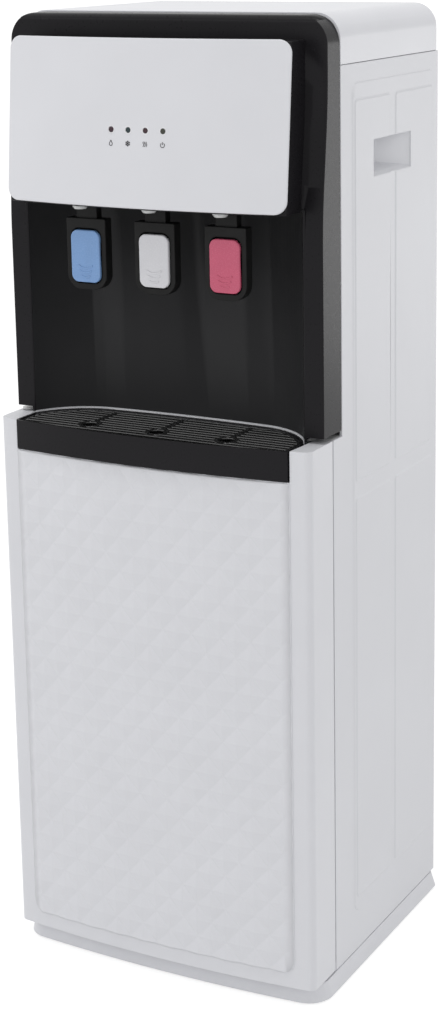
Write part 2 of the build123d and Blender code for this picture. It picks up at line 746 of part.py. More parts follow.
grille_edge = tray_lip + gap
grille_rim = 4.5
rib_back_y = alcove_back_y - tray_rear_gap - grille_edge - 1
with BuildPart() as drip_grille:
    with BuildSketch(Plane.XY.offset(grille_z)) as grille_plan:
        for i in range(slat_count):
            with Locations((0, slat_first_y + i * slat_pitch)):
                Rectangle(2 * tray_half, slat_width)
        for x in taps.values():
            with Locations((x, (tap_y + rib_back_y) / 2)):
                Rectangle(rib_width, rib_back_y - tap_y)
            with Locations((x, (2 * slat_first_y + tap_y) / 3)):
                Rectangle(rib_width, 10)
        add(tray_face(grille_edge + grille_rim - 0.5), mode=Mode.INTERSECT)
        for x in taps.values():
            with Locations((x, tap_y + 4)):
                Circle(ring_radius)
                Circle(ring_bore, mode=Mode.SUBTRACT)
        with BuildSketch(mode=Mode.PRIVATE) as opening:
            add(tray_face(grille_edge + grille_rim))
        with BuildSketch() as rim:
            add(tray_face(grille_edge))
            add(opening.sketch, mode=Mode.SUBTRACT)
    extrude(amount=grille_thickness)
finish(drip_grille.part, "drip_grille")

# ---------------------------------------------------------------- mid deck
tongue_front_y = liner_y - 3.0
tongue_half = alcove_half - 8
deck_side = inner_half
pump_x = -inner_half + 82.0
pump_y = rear_panel_y - 120.0
pump_z = deck_top_z + 30.0
hose_rise = (pump_x + 55.0, alcove_wall_y + 20.6)  # where the probe's hose passes up through the deck
with BuildPart() as deck_scoop:
    with BuildSketch(Plane.XY.offset(deck_top_z)) as scoop_plan:
        with Locations((0, deck_back_y)):
            Rectangle(2 * deck_side, deck_back_y - front_y, align=(Align.CENTER, Align.MAX))
        with BuildSketch(mode=Mode.SUBTRACT):
            alcove_face(tray_rear_gap - tray_gap - wall)
    extrude(amount=ledge_z - wall - deck_top_z)
with BuildPart() as mid_deck:
    block((-deck_side, deck_side), (side_front_y + 1, rear_panel_y - 0.6), (deck_z, deck_top_z))
    block((-deck_side, deck_side), (side_front_y + 1, deck_back_y), (deck_z, ledge_z))
    block((-tongue_half, tongue_half), (tongue_front_y, side_front_y + 1), (deck_z, ledge_z))
    block(
        (-alcove_half, alcove_half),
        (2 * front_y, alcove_back_y + 1),
        (tray_z, cabinet_height),
        mode=Mode.SUBTRACT,
    )
    with BuildSketch(Plane.XY.offset(tray_z)) as ledge_plan:
        with Locations((0, deck_back_y)):
            Rectangle(2 * (alcove_half - 4), 80, align=(Align.CENTER, Align.MAX))
        with Locations((0, deck_back_y)):
            Rectangle(2 * deck_side, deck_back_y - side_front_y - 1, align=(Align.CENTER, Align.MAX))
        with BuildSketch(mode=Mode.SUBTRACT):
            alcove_face(tray_rear_gap - tray_gap)
    extrude(amount=ledge_z - tray_z)
    add(deck_scoop.part, mode=Mode.SUBTRACT)
    block(
        (upper_anchor[0] - 10, upper_anchor[0] + 10),
        (upper_anchor[1] - 13, upper_anchor[1] + 13),
        (ledge_z - wall, upper_plate_z),
    )
    for y in (upper_anchor[1] - 8, upper_anchor[1] + 8):
        post(upper_anchor[0], y, (deck_top_z + 5, cabinet_height), hinge_screw + 0.02, mode=Mode.SUBTRACT)
    post(*hose_rise, (deck_z - 1, deck_top_z + 1), tube_outer + 0.3, mode=Mode.SUBTRACT)
finish(mid_deck.part, "mid_deck")

# ---------------------------------------------------------------- door
step_x = (-tray_half - tray_gap, tray_half - 4)  # the step that passes the deck's tongue
step_y = tongue_front_y - 2.5
step_z = deck_z - 3.0
with BuildPart() as door_cavity:
    with BuildSketch(Plane.XY.offset(door_z + wall)):
        bowed_face(half_width - wall, door_crown_y + wall, door_bulge, 0)
    extrude(amount=ledge_z - door_z - 2 * wall)
    with BuildSketch(Plane.XY.offset(notch_z - wall)):
        with Locations((pin_x, pin_y)):
            Circle(notch_radius + wall)
        with Locations((-tray_half - tray_gap - wall, 0)):
            Rectangle(cabinet_width, 4 * overall_depth, align=(Align.MIN, Align.CENTER), mode=Mode.INTERSECT)
    extrude(amount=cabinet_height, mode=Mode.SUBTRACT)
    block(
        (-half_width, pin_x + hinge_radius),
        (pin_y - hinge_radius, 0),
        (0, cabinet_height),
        mode=Mode.SUBTRACT,
    )
    block(
        (step_x[0] - wall, step_x[1] + wall),
        (step_y - wall, 0),
        (step_z - wall, cabinet_height),
        mode=Mode.SUBTRACT,
    )

with BuildPart() as door_outer:
    with BuildSketch(Plane.XY.offset(door_z)) as door_plan:
        bowed_face(half_width, door_crown_y, door_bulge, door_rear_y)
        fillet(door_plan.vertices().group_by(Axis.Y)[0], door_corner)
        fillet(door_plan.vertices().group_by(Axis.Y)[-1].sort_by(Axis.X)[0], hinge_radius - 0.01)
    extrude(amount=ledge_z - door_z)
    with BuildSketch(Plane.XY.offset(notch_z)):
        with Locations((pin_x, pin_y)):
            Circle(notch_radius)
        with Locations((-tray_half - tray_gap, 0)):
            Rectangle(cabinet_width, 4 * overall_depth, align=(Align.MIN, Align.CENTER), mode=Mode.INTERSECT)
    extrude(amount=cabinet_height, mode=Mode.SUBTRACT)
    add(door_cavity.part, mode=Mode.SUBTRACT)
    block(step_x, (step_y, 0), (step_z, cabinet_height), mode=Mode.SUBTRACT)
    for z in ((door_z, door_z + bush_length), (ledge_z - bush_length, ledge_z)):
        post(pin_x, pin_y, z, bush_radius, mode=Mode.SUBTRACT)

with BuildPart() as raised_field:
    with BuildSketch(facing_front(0)) as field_outline:
        with Locations((0, (notch_z + door_z + field_margin_z) / 2)):
            Rectangle(2 * (tray_half + 1.5), notch_z - door_z - field_margin_z)
        fillet(field_outline.vertices().group_by(Axis.Y)[0], field_corner)
    extrude(amount=-2 * front_y)
    with BuildSketch():
        bowed_face(half_width, door_crown_y - field_proud, door_bulge, 0)
    extrude(amount=cabinet_height, mode=Mode.INTERSECT)
    with BuildSketch():
        bowed_face(half_width, door_crown_y + 0.5, door_bulge, 1)
    extrude(amount=cabinet_height, mode=Mode.SUBTRACT)

with BuildPart() as door_shell:
    add(door_outer.part)
    add(raised_field.part)
finish(door_shell.part, "door_outer")

liner_x = (pin_x + hinge_radius + 0.5, half_width - wall)
liner_z = (door_z + wall, step_z - wall)
liner_rib_pitch = (liner_z[1] - liner_z[0]) / (liner_rib_count + 1)
catch_x = half_width - catch_inset
magnet_depth = 3.2
strike_depth = 1.5
strike_y = side_front_y - magnet_depth - gap
with BuildPart() as door_liner:
    block(liner_x, (liner_y, liner_y + liner_thickness + liner_rim), liner_z)
    block(
        (liner_x[0] + 2.5, liner_x[1] - 2.5),
        (liner_y + liner_thickness, 0),
        (liner_z[0] + 2.5, liner_z[1] - 2.5),
        mode=Mode.SUBTRACT,
    )
    for i in range(liner_rib_count):
        z = liner_z[0] + (i + 1) * liner_rib_pitch
        block(
            (liner_x[0] + 2, liner_x[1] - 2),
            (liner_y + 1, liner_y + liner_thickness + 3),
            (z - 2, z + 2),
        )
    block(
        (catch_x - 8, catch_x + 8),
        (liner_y + 1, strike_y - strike_depth),
        (catch_z - catch_height / 2 - 3, catch_z + catch_height / 2 + 3),
    )
finish(door_liner.part, "door_liner")

catch_span = (catch_z - catch_height / 2, catch_z + catch_height / 2)
with BuildPart() as door_strike:
    block((catch_x - 6, catch_x + 6), (strike_y - strike_depth, strike_y), catch_span)
finish(door_strike.part, "door_strike")

with BuildPart() as door_magnet:
    block((catch_x - 6, catch_x + 6), (side_front_y - magnet_depth, side_front_y), catch_span)
    chamfer(door_magnet.faces().sort_by(Axis.Y)[0].edges(), 0.6)
finish(door_magnet.part, "door_magnet")

hinge_pin_reach = 15.0


def hinge_bracket(z, anchor, size, screw_step):
    """A steel plate that reaches from its screwed rectangle to the door's pivot."""
    with BuildPart() as plate:
        with BuildSketch(Plane.XY.offset(z)):
            with Locations((pin_x, pin_y)):
                Circle(7.0)
            with Locations(anchor):
                Rectangle(*size)
            make_hull()
            with Locations((pin_x, pin_y)):
                Circle(pin_radius + 0.02, mode=Mode.SUBTRACT)
            for side in (-1, 1):
                with Locations((anchor[0] + side * screw_step[0], anchor[1] + side * screw_step[1])):
                    Circle(hinge_screw + 0.1, mode=Mode.SUBTRACT)
        extrude(amount=hinge_plate)
    return plate.part


upper_step = (0, 8)
lower_step = (8, 0)
finish(hinge_bracket(upper_plate_z, upper_anchor, (18, 26), upper_step), "upper_hinge_bracket")
finish(hinge_bracket(plinth_deck_z, lower_anchor, (30, 14), lower_step), "lower_hinge_bracket")

with BuildPart() as hinge_screws:
    for z, anchor, step, reach in (
        (upper_plate_z, upper_anchor, upper_step, 6),
        (plinth_deck_z, lower_anchor, lower_step, 6),
    ):
        for side in (-1, 1):
            x = anchor[0] + side * step[0]
            y = anchor[1] + side * step[1]
            post(x, y, (z - reach, z + hinge_plate), hinge_screw)
            post(x, y, (z + hinge_plate, z + hinge_plate + 0.5), 3.6)
finish(hinge_screws.part, "hinge_screws")

upper_pin_z = upper_plate_z + hinge_plate
with BuildPart() as hinge_pins:
    post(pin_x, pin_y, (plinth_deck_z, plinth_deck_z + hinge_pin_reach), pin_radius)
    post(pin_x, pin_y, (upper_pin_z - hinge_pin_reach, upper_pin_z), pin_radius)
finish(hinge_pins.part, "hinge_pins")

with BuildPart() as hinge_bushes:
    for z in ((door_z, door_z + bush_length), (ledge_z - bush_length, ledge_z)):
        post(pin_x, pin_y, z, bush_radius)
        post(pin_x, pin_y, z, pin_radius + running_fit, mode=Mode.SUBTRACT)
finish(hinge_bushes.part, "hinge_bushes")

# ---------------------------------------------------------------- rear panel, switches, gland, drain
lip_y = back_y - flange_thickness - sheet
switch_z = deck_z + 38.0
gland_x = pan_half - 33.0
switch_pitch = 35.0
switch_xs = {"hot": gland_x - 2 * switch_pitch, "cold": gland_x - switch_pitch}
drain_spot = (hot_x, switch_z)
tube_radius = 2.4
run_count = 8
run_pitch = 36.0
run_half = pan_half - 35.5
condenser_z = deck_z + 103.0
condenser_in = (run_half + 20, condenser_z - 27)
condenser_out = (run_half - 12, condenser_z)
louvre_size = (56.0, 10.0)
louvre_pitch = (75.0, 16.0)
louvre_z = condenser_z + 25
with BuildPart() as rear_panel:
    block((-inner_half, inner_half), (rear_panel_y, lip_y + sheet), (seat_z, side_top_z - rear_lid))
    block(
        (-pan_half, pan_half),
        (rear_panel_y + sheet, back_y),
        (seat_z + sheet, side_top_z - rear_lid - sheet),
        mode=Mode.SUBTRACT,
    )
    for side in (-1, 1):
        edge = sorted((side * (pan_half + sheet), side * (inner_half + 1)))
        block(edge, (rear_panel_y - 1, lip_y), (0, cabinet_height), mode=Mode.SUBTRACT)
    with Locations((0, rear_panel_y, louvre_z)):
        for column in range(4):
            for row in range(5):
                with Locations(((column - 1.5) * louvre_pitch[0], 0, (row - 2) * louvre_pitch[1])):
                    Box(louvre_size[0], 6 * sheet, louvre_size[1], mode=Mode.SUBTRACT)
    for x in switch_xs.values():
        block(
            (x - 10.2, x + 10.2),
            (rear_panel_y - 1, rear_panel_y + 3),
            (switch_z - 14.2, switch_z + 14.2),
            mode=Mode.SUBTRACT,
        )
    for x, z in (condenser_in, condenser_out):
        rod_y(x, (rear_panel_y - 1, rear_panel_y + 3), z, tube_radius + 1.5, mode=Mode.SUBTRACT)
    for z in screw_heights:
        for side in (-1, 1):
            x = side * (half_width - flange_width / 2)
            rod_y(x, (0, back_y), z, screw_shank + 0.02, mode=Mode.SUBTRACT)
    rod_y(gland_x, (rear_panel_y - 1, rear_panel_y + 3), switch_z, 8.0, mode=Mode.SUBTRACT)
    rod_y(drain_spot[0], (rear_panel_y - 1, rear_panel_y + 3), drain_spot[1], 8.1, mode=Mode.SUBTRACT)
finish(rear_panel.part, "rear_panel")

with BuildPart() as rear_screws:
    for z in screw_heights:
        for side in (-1, 1):
            x = side * (half_width - flange_width / 2)
            rod_y(x, (lip_y - 5, lip_y + sheet), z, screw_shank)
            rod_y(x, (lip_y + sheet, back_y - 0.4), z, screw_head)
            block((x - 0.5, x + 0.5), (back_y - 1.4, back_y), (z - 3, z + 3), mode=Mode.SUBTRACT)
            block((x - 3, x + 3), (back_y - 1.4, back_y), (z - 0.5, z + 0.5), mode=Mode.SUBTRACT)
finish(rear_screws.part, "rear_screws")

rocker_tilt = 8.0
rocker_pivot_y = rear_panel_y + 0.5
with BuildPart() as switch_housings:
    for x in switch_xs.values():
        block(
            (x - 12, x + 12),
            (rear_panel_y + sheet, rear_panel_y + sheet + 2),
            (switch_z - 16, switch_z + 16),
        )
        block((x - 10, x + 10), (rear_panel_y - 18, rear_panel_y + sheet), (switch_z - 14, switch_z + 14))
        block(
            (x - 7.5, x + 7.5),
            (rear_panel_y - 6, back_y),
            (switch_z - 11.5, switch_z + 11.5),
            mode=Mode.SUBTRACT,
        )
        for blade_x in (x - 5, x + 5):
            block(
                (blade_x - 0.4, blade_x + 0.4),
                (rear_panel_y - 26, rear_panel_y - 18),
                (switch_z - 3, switch_z + 3),
            )
finish(switch_housings.part, "switch_housings")

for name, x in switch_xs.items():
    with BuildPart() as rocker:
        with BuildSketch(facing_right(x - 7)) as rocker_side:
            with BuildLine():
                Polyline(
                    (rocker_pivot_y - 3, switch_z - 9),
                    (rocker_pivot_y + 4.4, switch_z - 10.3),
                    (rocker_pivot_y + 3.2, switch_z),
                    (rocker_pivot_y + 4.4, switch_z + 10.3),
                    (rocker_pivot_y - 3, switch_z + 9),
                    close=True,
                )
            make_face()
        extrude(amount=14)
    rocker_axis = Axis((x, rocker_pivot_y, switch_z), (1, 0, 0))
    finish(rocker.part.rotate(rocker_axis, -rocker_tilt), f"rocker_{name}")

with BuildPart() as cord_gland:
    rod_y(gland_x, (rear_panel_y - 6, rear_panel_y + sheet + 6), switch_z, 7.8)
    rod_y(gland_x, (rear_panel_y + sheet, rear_panel_y + sheet + 3), switch_z, 11.0)
    rod_y(gland_x, (rear_panel_y - 8, back_y), switch_z, 4.0, mode=Mode.SUBTRACT)
finish(cord_gland.part, "cord_gland")

with BuildPart() as drain_spout:
    rod_y(drain_spot[0], (rear_panel_y - 30, rear_panel_y + 11), drain_spot[1], 7.0)
    rod_y(drain_spot[0], (rear_panel_y + sheet, rear_panel_y + sheet + 2), drain_spot[1], 10.5)
    rod_y(drain_spot[0], (rear_panel_y - 31, back_y), drain_spot[1], 4.0, mode=Mode.SUBTRACT)
finish(drain_spout.part, "drain_spout")

with BuildPart() as drain_cap:
    rod_y(drain_spot[0], (rear_panel_y + 3.8, rear_panel_y + 13.5), drain_spot[1], 9.8)
    with Locations(facing_front(rear_panel_y + 13.5)):
        with Locations((drain_spot[0], drain_spot[1])):
            with PolarLocations(9.8, 12):
                Cylinder(0.9, 30, mode=Mode.SUBTRACT)
    rod_y(drain_spot[0], (rear_panel_y, rear_panel_y + 11.3), drain_spot[1], 7.06, mode=Mode.SUBTRACT)
finish(drain_cap.part, "drain_cap")

# ---------------------------------------------------------------- condenser on the back
wire_radius = 0.8
condenser_y = rear_panel_y + sheet + 2 * wire_radius + tube_radius + 0.6
comp_radius = 64.0
comp_margin = 16.0  # from its base plate to the side panel
plate_half = (comp_radius + 9, 55.0)
comp_x = inner_half - comp_margin - plate_half[0]
comp_y = rear_panel_y - 38 - comp_radius
drier_y = rear_panel_y - 34
drier_z = condenser_z + 9


def tube(points, radii, radius):
    """A round tube along straight runs, its corners rounded by the given radii."""
    with BuildPart() as run:
        with BuildLine() as path:
            FilletPolyline(*points, radius=radii)
        with BuildSketch(Plane(origin=path.line @ 0, z_dir=path.line % 0)) as section:
            Circle(radius)
        sweep(section.sketch, path=path.line)
    return run.part


in_x, in_z = condenser_in
out_x, out_z = condenser_out
top_z = condenser_z + (run_count - 1) * run_pitch
path_points = [
    (comp_x, comp_y + comp_radius, in_z),
    (comp_x, comp_y + comp_radius + 18, in_z),
    (in_x, comp_y + comp_radius + 18, in_z),
    (in_x, condenser_y, in_z),
    (in_x, condenser_y, top_z),
]
path_radii = [7.0, 7.0, 7.0, 12.0]
for i in range(run_count - 1):
    turn_x = -run_half if i % 2 == 0 else run_half
    for z in (top_z - i * run_pitch, top_z - (i + 1) * run_pitch):
        path_points.append((turn_x, condenser_y, z))
    path_radii += [run_pitch / 2 - 0.2, run_pitch / 2 - 0.2]
path_points += [(out_x, condenser_y, out_z), (out_x, drier_y, out_z), (out_x, drier_y, drier_z)]
path_radii += [7.0, 7.0]
finish(tube(path_points, path_radii, tube_radius), "condenser_tube")

wire_count = 17
wire_pitch = 13.0
wire_z = (condenser_z - 12, condenser_z + (run_count - 1) * run_pitch + 12)
with BuildPart() as condenser_wires:
    for i in range(wire_count):
        x = (i - (wire_count - 1) / 2) * wire_pitch
        for side in (-1, 1):
            post(x, condenser_y + side * (tube_radius + wire_radius + 0.02), wire_z, wire_radius)
finish(condenser_wires.part, "condenser_wires")

# ---------------------------------------------------------------- cooling: compressor, tank, foam
grommet_height = 12.0
comp_z = deck_top_z + grommet_height
leg_inset = 11.0
leg_spots = [
    (comp_x + side * (plate_half[0] - leg_inset), comp_y + end * (plate_half[1] - leg_inset))
    for side in (-1, 1)
    for end in (-1, 1)
]
comp_height = 138.0
dome_rise = 55.0
seam_proud = 3.0
seam_height = 5.0
comp_wall = 3.5
dome_edge = comp_radius - 2
rim_height = comp_height - dome_rise
bowl_height = 26.0
shell_profile = [
    (0, 1),
    (comp_radius - 24, 1),
    (comp_radius, bowl_height),
    (comp_radius, rim_height - seam_height),
    (comp_radius + seam_proud, rim_height - seam_height),
    (comp_radius + seam_proud, rim_height),
    (dome_edge, rim_height),
]
comp_top_z = comp_z + comp_height
dome_radius = (dome_edge**2 + dome_rise**2) / (2 * dome_rise)
dome_start = degrees(atan2(dome_radius - dome_rise, dome_edge))
with BuildPart() as compressor:
    with BuildSketch(facing_front(comp_y)):
        with BuildLine():
            Polyline(*[(comp_x + r, comp_z + h) for r, h in shell_profile])
            CenterArc((comp_x, comp_top_z - dome_radius), dome_radius, dome_start, 90 - dome_start)
            Line((comp_x, comp_top_z), (comp_x, comp_z + 1))
        make_face()
    revolve(axis=Axis((comp_x, comp_y, 0), (0, 0, 1)))
    with BuildSketch(Plane.XY.offset(comp_z)):
        with Locations((comp_x, comp_y)):
            RectangleRounded(2 * plate_half[0], 2 * plate_half[1], 12)
        with Locations(*leg_spots):
            Circle(5.0, mode=Mode.SUBTRACT)
    extrude(amount=3)
    post(
        comp_x,
        comp_y,
        (comp_z + bowl_height + comp_wall, comp_z + rim_height),
        comp_radius - comp_wall,
        mode=Mode.SUBTRACT,
    )
finish(compressor.part, "compressor")

with BuildPart() as compressor_mounts:
    for x, y in leg_spots:
        post(x, y, (deck_top_z, comp_z), 9.0)
        post(x, y, (comp_z, comp_z + 5), 4.8)
finish(compressor_mounts.part, "compressor_mounts")

with BuildPart() as terminal_cover:
    block(
        (comp_x - comp_radius - 22, comp_x - comp_radius - 0.5),
        (comp_y - 24, comp_y + 24),
        (comp_z + bowl_height + 4, comp_z + rim_height - seam_height - 4),
    )
    fillet(terminal_cover.edges().filter_by(Axis.Y), 4.0)
finish(terminal_cover.part, "terminal_cover")

line_y = rear_panel_y - line_room / 2  # copper lines rise here
port_y = pump_y + 28  # the pump's outlet, and the line that rises from it between the two tanks
shelf_flange = 12.0
with BuildPart() as tank_shelf:
    block((-inner_half, inner_half), (shelf_front_y, rear_panel_y), (shelf_z, shelf_top_z))
    block(
        (-inner_half, inner_half),
        (shelf_front_y, shelf_front_y + shelf_thickness),
        (shelf_z - shelf_flange, shelf_z),
    )
    for side in (-1, 1):
        edge = sorted((side * inner_half, side * (inner_half - shelf_thickness)))
        block(edge, (shelf_front_y, rear_panel_y), (shelf_z - shelf_flange, shelf_z))
    for x, y in ((out_x, line_y), (comp_x, line_y), (riser_x, port_y), (hot_x, hot_y)):
        post(x, y, (shelf_z - 1, shelf_top_z + 1), tube_outer + 2, mode=Mode.SUBTRACT)
finish(tank_shelf.part, "tank_shelf")

with BuildPart() as cold_tank_foam:
    block((foam_left_x, tank_x + tank_radius + foam_wall), (foam_front_y, foam_rear_y), foam_z)
    fillet(cold_tank_foam.edges().filter_by(Axis.Z), 14.0)
    post(tank_x, tank_y, (foam_z[0] + foam_wall, foam_z[1] + 1), tank_radius + 3, mode=Mode.SUBTRACT)
finish(cold_tank_foam.part, "cold_tank_foam")

lid_top_z = foam_z[1] + 10
with BuildPart() as foam_lid:
    post(tank_x, tank_y, (foam_z[1] - 12, foam_z[1]), tank_radius + 2.8)
    post(tank_x, tank_y, (foam_z[1], lid_top_z), tank_radius + 10)
finish(foam_lid.part, "foam_lid")


def tank_body(x, y, z, radius, corner):
    """An upright can with rounded ends."""
    with BuildPart() as body:
        post(x, y, z, radius)
        fillet(body.edges().filter_by(GeomType.CIRCLE), corner)
    return body.part


def tank_room(x, y, z, radius, corner):
    """The water inside a can of the same outer sizes."""
    inner_z = (z[0] + tank_wall, z[1] - tank_wall)
    return tank_body(x, y, inner_z, radius - tank_wall, corner - tank_wall)


cold_size = (tank_x, tank_y, (foam_z[0] + foam_wall, foam_z[1] - 13), tank_radius, 12.0)
with BuildPart() as cold_tank:
    add(tank_body(*cold_size))
    add(tank_room(*cold_size), mode=Mode.SUBTRACT)
    post(tank_x, tank_y, (foam_z[1] - 20, foam_z[1]), 20.0, mode=Mode.SUBTRACT)
finish(cold_tank.part, "cold_tank")

with BuildPart() as evaporator_jacket:
    post(tank_x, tank_y, (foam_z[0] + foam_wall + 30, foam_z[1] - 40), tank_radius + 2.6)
    post(tank_x, tank_y, (0, cabinet_height), tank_radius + 0.3, mode=Mode.SUBTRACT)
finish(evaporator_jacket.part, "evaporator_jacket")

drier_top = drier_z + 58
with BuildPart() as filter_drier:
    post(out_x, drier_y, (drier_z, drier_top), 8.5)
    fillet(filter_drier.edges().filter_by(GeomType.CIRCLE), 5.0)
finish(filter_drier.part, "filter_drier")

with BuildPart() as refrigerant_lines:
    add(
        tube(
            [
                (out_x, drier_y, drier_top),
                (out_x, drier_y, drier_top + 12),
                (out_x, line_y, drier_top + 12),
                (out_x, line_y, shelf_z + 110),
                (out_x, foam_rear_y, shelf_z + 110),
            ],
            [5.0, 5.0, 5.0],
            1.6,
        )
    )
    add(
        tube(
            [
                (comp_x, comp_y, comp_top_z),
                (comp_x, comp_y, comp_top_z + 14),
                (comp_x, line_y, comp_top_z + 14),
                (comp_x, line_y, shelf_z + 60),
                (comp_x, foam_rear_y, shelf_z + 60),
            ],
            [7.0, 7.0, 6.0],
            3.0,
        )
    )
finish(refrigerant_lines.part, "refrigerant_lines")

# ---------------------------------------------------------------- heating: hot tank and its band
hot_line_z = barb_z + 22
hot_size = (hot_x, hot_y, hot_z, hot_radius, 10.0)
hot_stub_y = hot_y - hot_radius - 14
with BuildPart() as hot_tank:
    add(tank_body(*hot_size))
    post(hot_x, hot_y, (hot_z[1] - 1, hot_z[1] + 14), 7.0)
    rod_y(hot_x, (hot_stub_y, hot_y - hot_radius + 2), hot_line_z, 6.0)
    add(tank_room(*hot_size), mode=Mode.SUBTRACT)
    post(hot_x, hot_y, (hot_z[1] - 3, hot_z[1] + 10), 5.0, mode=Mode.SUBTRACT)
finish(hot_tank.part, "hot_tank")

with BuildPart() as band_heater:
    post(hot_x, hot_y, (hot_z[0] + 25, hot_z[0] + 65), hot_radius + 3.2)
    post(hot_x, hot_y, (0, cabinet_height), hot_radius + 0.2, mode=Mode.SUBTRACT)
    block(
        (hot_x - 14, hot_x + 14),
        (hot_y + hot_radius + 1, hot_y + hot_radius + 12),
        (hot_z[0] + 33, hot_z[0] + 57),
    )
finish(band_heater.part, "band_heater")

with BuildPart() as tank_thermostats:
    for z in (hot_z[0] + 82, hot_z[0] + 112):
        rod_y(hot_x, (hot_y + hot_radius + 0.1, hot_y + hot_radius + 9), z, 8.0)
finish(tank_thermostats.part, "tank_thermostats")

# ---------------------------------------------------------------- water: pump, probe and hose
with BuildPart() as water_pump:
    rod_y(pump_x, (pump_y - 55, pump_y + 5), pump_z, 19.0)
    rod_y(pump_x, (pump_y + 5, pump_y + 40), pump_z, 24.0)
    fillet(water_pump.edges().filter_by(GeomType.CIRCLE).group_by(Axis.Y)[0], 2.0)
    rod_x((pump_x, pump_x + 38), pump_y + 28, pump_z, 5.5)
    post(pump_x, pump_y + 28, (pump_z, pump_z + 38), 5.5)
finish(water_pump.part, "water_pump")

with BuildPart() as pump_cradle:
    block((pump_x - 22, pump_x + 22), (pump_y - 50, pump_y), (deck_top_z, deck_top_z + 16))
    rod_y(pump_x, (pump_y - 60, pump_y + 20), pump_z, 19.3, mode=Mode.SUBTRACT)
finish(pump_cradle.part, "pump_cradle")

probe_x = -inner_half + 37.0
probe_y = rear_panel_y - 40.0
probe_top_z = deck_z - 82.0
with BuildPart() as bottle_probe:
    post(probe_x, probe_y, (40, probe_top_z), 5.5)
    post(probe_x, probe_y, (probe_top_z - 32, probe_top_z - 8), 27.0)
    fillet(bottle_probe.edges().filter_by(GeomType.CIRCLE).group_by(Axis.Z)[-2], 3.0)
    post(probe_x, probe_y, (probe_top_z - 33, probe_top_z - 12), 24.5, mode=Mode.SUBTRACT)
    post(probe_x, probe_y, (probe_top_z - 40, probe_top_z - 9), 5.5)
    post(probe_x, probe_y, (40, 62), 8.5)
    post(probe_x, probe_y, (39, 58), 6.5, mode=Mode.SUBTRACT)
finish(bottle_probe.part, "bottle_probe")

with BuildPart() as probe_clip:
    block((-inner_half, probe_x + 7), (probe_y - 8, probe_y + 8), (300, 316))
    post(probe_x, probe_y, (290, 320), 5.8, mode=Mode.SUBTRACT)
    block((probe_x - 3.6, probe_x + 20), (probe_y - 3.6, probe_y + 3.6), (290, 320), mode=Mode.SUBTRACT)
finish(probe_clip.part, "probe_clip")

hose_z = deck_z - 20.0
hose_right_x = inner_half - 67.0
hose_points = [
    (probe_x, probe_y, probe_top_z),
    (probe_x, probe_y, hose_z),
    (hose_right_x - 50, probe_y, hose_z),
    (hose_right_x, probe_y - 50, hose_z),
    (hose_right_x, hose_rise[1] + 34, hose_z),
    (hose_right_x - 50, hose_rise[1], hose_z),
    (hose_rise[0], hose_rise[1], hose_z),
    (hose_rise[0], hose_rise[1], pump_z),
    (hose_rise[0], port_y, pump_z),
    (pump_x + 38, port_y, pump_z),
]
hose_radii = [28.0, 20.0, 20.0, 20.0, 20.0, 18.0, 14.0, 12.0]
hose_side_y = (probe_y + hose_rise[1] - 16) / 2
finish(tube(hose_points, hose_radii, tube_outer), "probe_hose")

with BuildPart() as hose_clips:
    for x, y, along in (
        (hose_rise[0], probe_y, (5, 8)),
        (hose_right_x, hose_side_y, (8, 5)),
        (hose_right_x - 100, hose_rise[1], (5, 8)),
    ):
        block((x - along[0], x + along[0]), (y - along[1], y + along[1]), (hose_z - 2, deck_z))
        if along[0] < along[1]:
            rod_x((x - 9, x + 9), y, hose_z, tube_outer + 0.02, mode=Mode.SUBTRACT)
        else:
            rod_y(x, (y - 9, y + 9), hose_z, tube_outer + 0.02, mode=Mode.SUBTRACT)
finish(hose_clips.part, "hose_clips")

lid_port_x = tank_x - 30
lid_line_z = lid_top_z + 20
cold_line_y = foam_front_y - 12
room_line_y = foam_front_y - 25
with BuildPart() as water_lines:
    add(
        tube(
            [
                (pump_x, port_y, pump_z + 38),
                (pump_x, port_y, pump_z + 92),
                (riser_x, port_y, pump_z + 92),
                (riser_x, port_y, foam_z[1] - 30),
                (foam_left_x, port_y, foam_z[1] - 30),
            ],
            [10.0, 10.0, 10.0],
            tube_outer,
        )
    )
    add(
        tube(
            [
                (taps["cold"], barb_y - 6, barb_z),
                (taps["cold"], cold_line_y, barb_z),
                (foam_left_x + 40, cold_line_y, barb_z),
                (foam_left_x + 40, foam_front_y, barb_z),
            ],
            [14.0, 10.0],
            tube_outer,
        )
    )
    add(
        tube(
            [
                (taps["hot"], barb_y - 6, barb_z),
                (taps["hot"], barb_y + 19, barb_z),
                (taps["hot"], barb_y + 19, hot_line_z),
                (hot_x, barb_y + 19, hot_line_z),
                (hot_x, hot_stub_y, hot_line_z),
            ],
            [10.0, 10.0, 14.0],
            tube_outer,
        )
    )
    add(
        tube(
            [
                (taps["room"], barb_y - 6, barb_z),
                (taps["room"], room_line_y, barb_z),
                (taps["room"], room_line_y, lid_line_z),
                (taps["room"], tank_y, lid_line_z),
                (lid_port_x, tank_y, lid_line_z),
                (lid_port_x, tank_y, lid_top_z),
            ],
            [12.0, 12.0, 10.0, 8.0],
            tube_outer,
        )
    )
    add(
        tube(
            [
                (hot_x, hot_y, hot_z[0]),
                (hot_x, hot_y, hot_z[0] - 46),
                (hot_x, rear_panel_y - 46, hot_z[0] - 46),
                (hot_x, rear_panel_y - 46, drain_spot[1]),
                (hot_x, rear_panel_y - 30, drain_spot[1]),
            ],
            [14.0, 14.0, 12.0],
            tube_outer,
        )
    )
    rod_x((hot_x + hot_radius, foam_left_x), hot_y, hot_z[0] + 85, tube_outer)
finish(water_lines.part, "water_lines")

print("parts written:", len(os.listdir("parts")))
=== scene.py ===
import json
from math import atan2, cos, pi, radians, sin

import bmesh
import bpy
from mathutils import Matrix, Vector
from mathutils.bvhtree import BVHTree


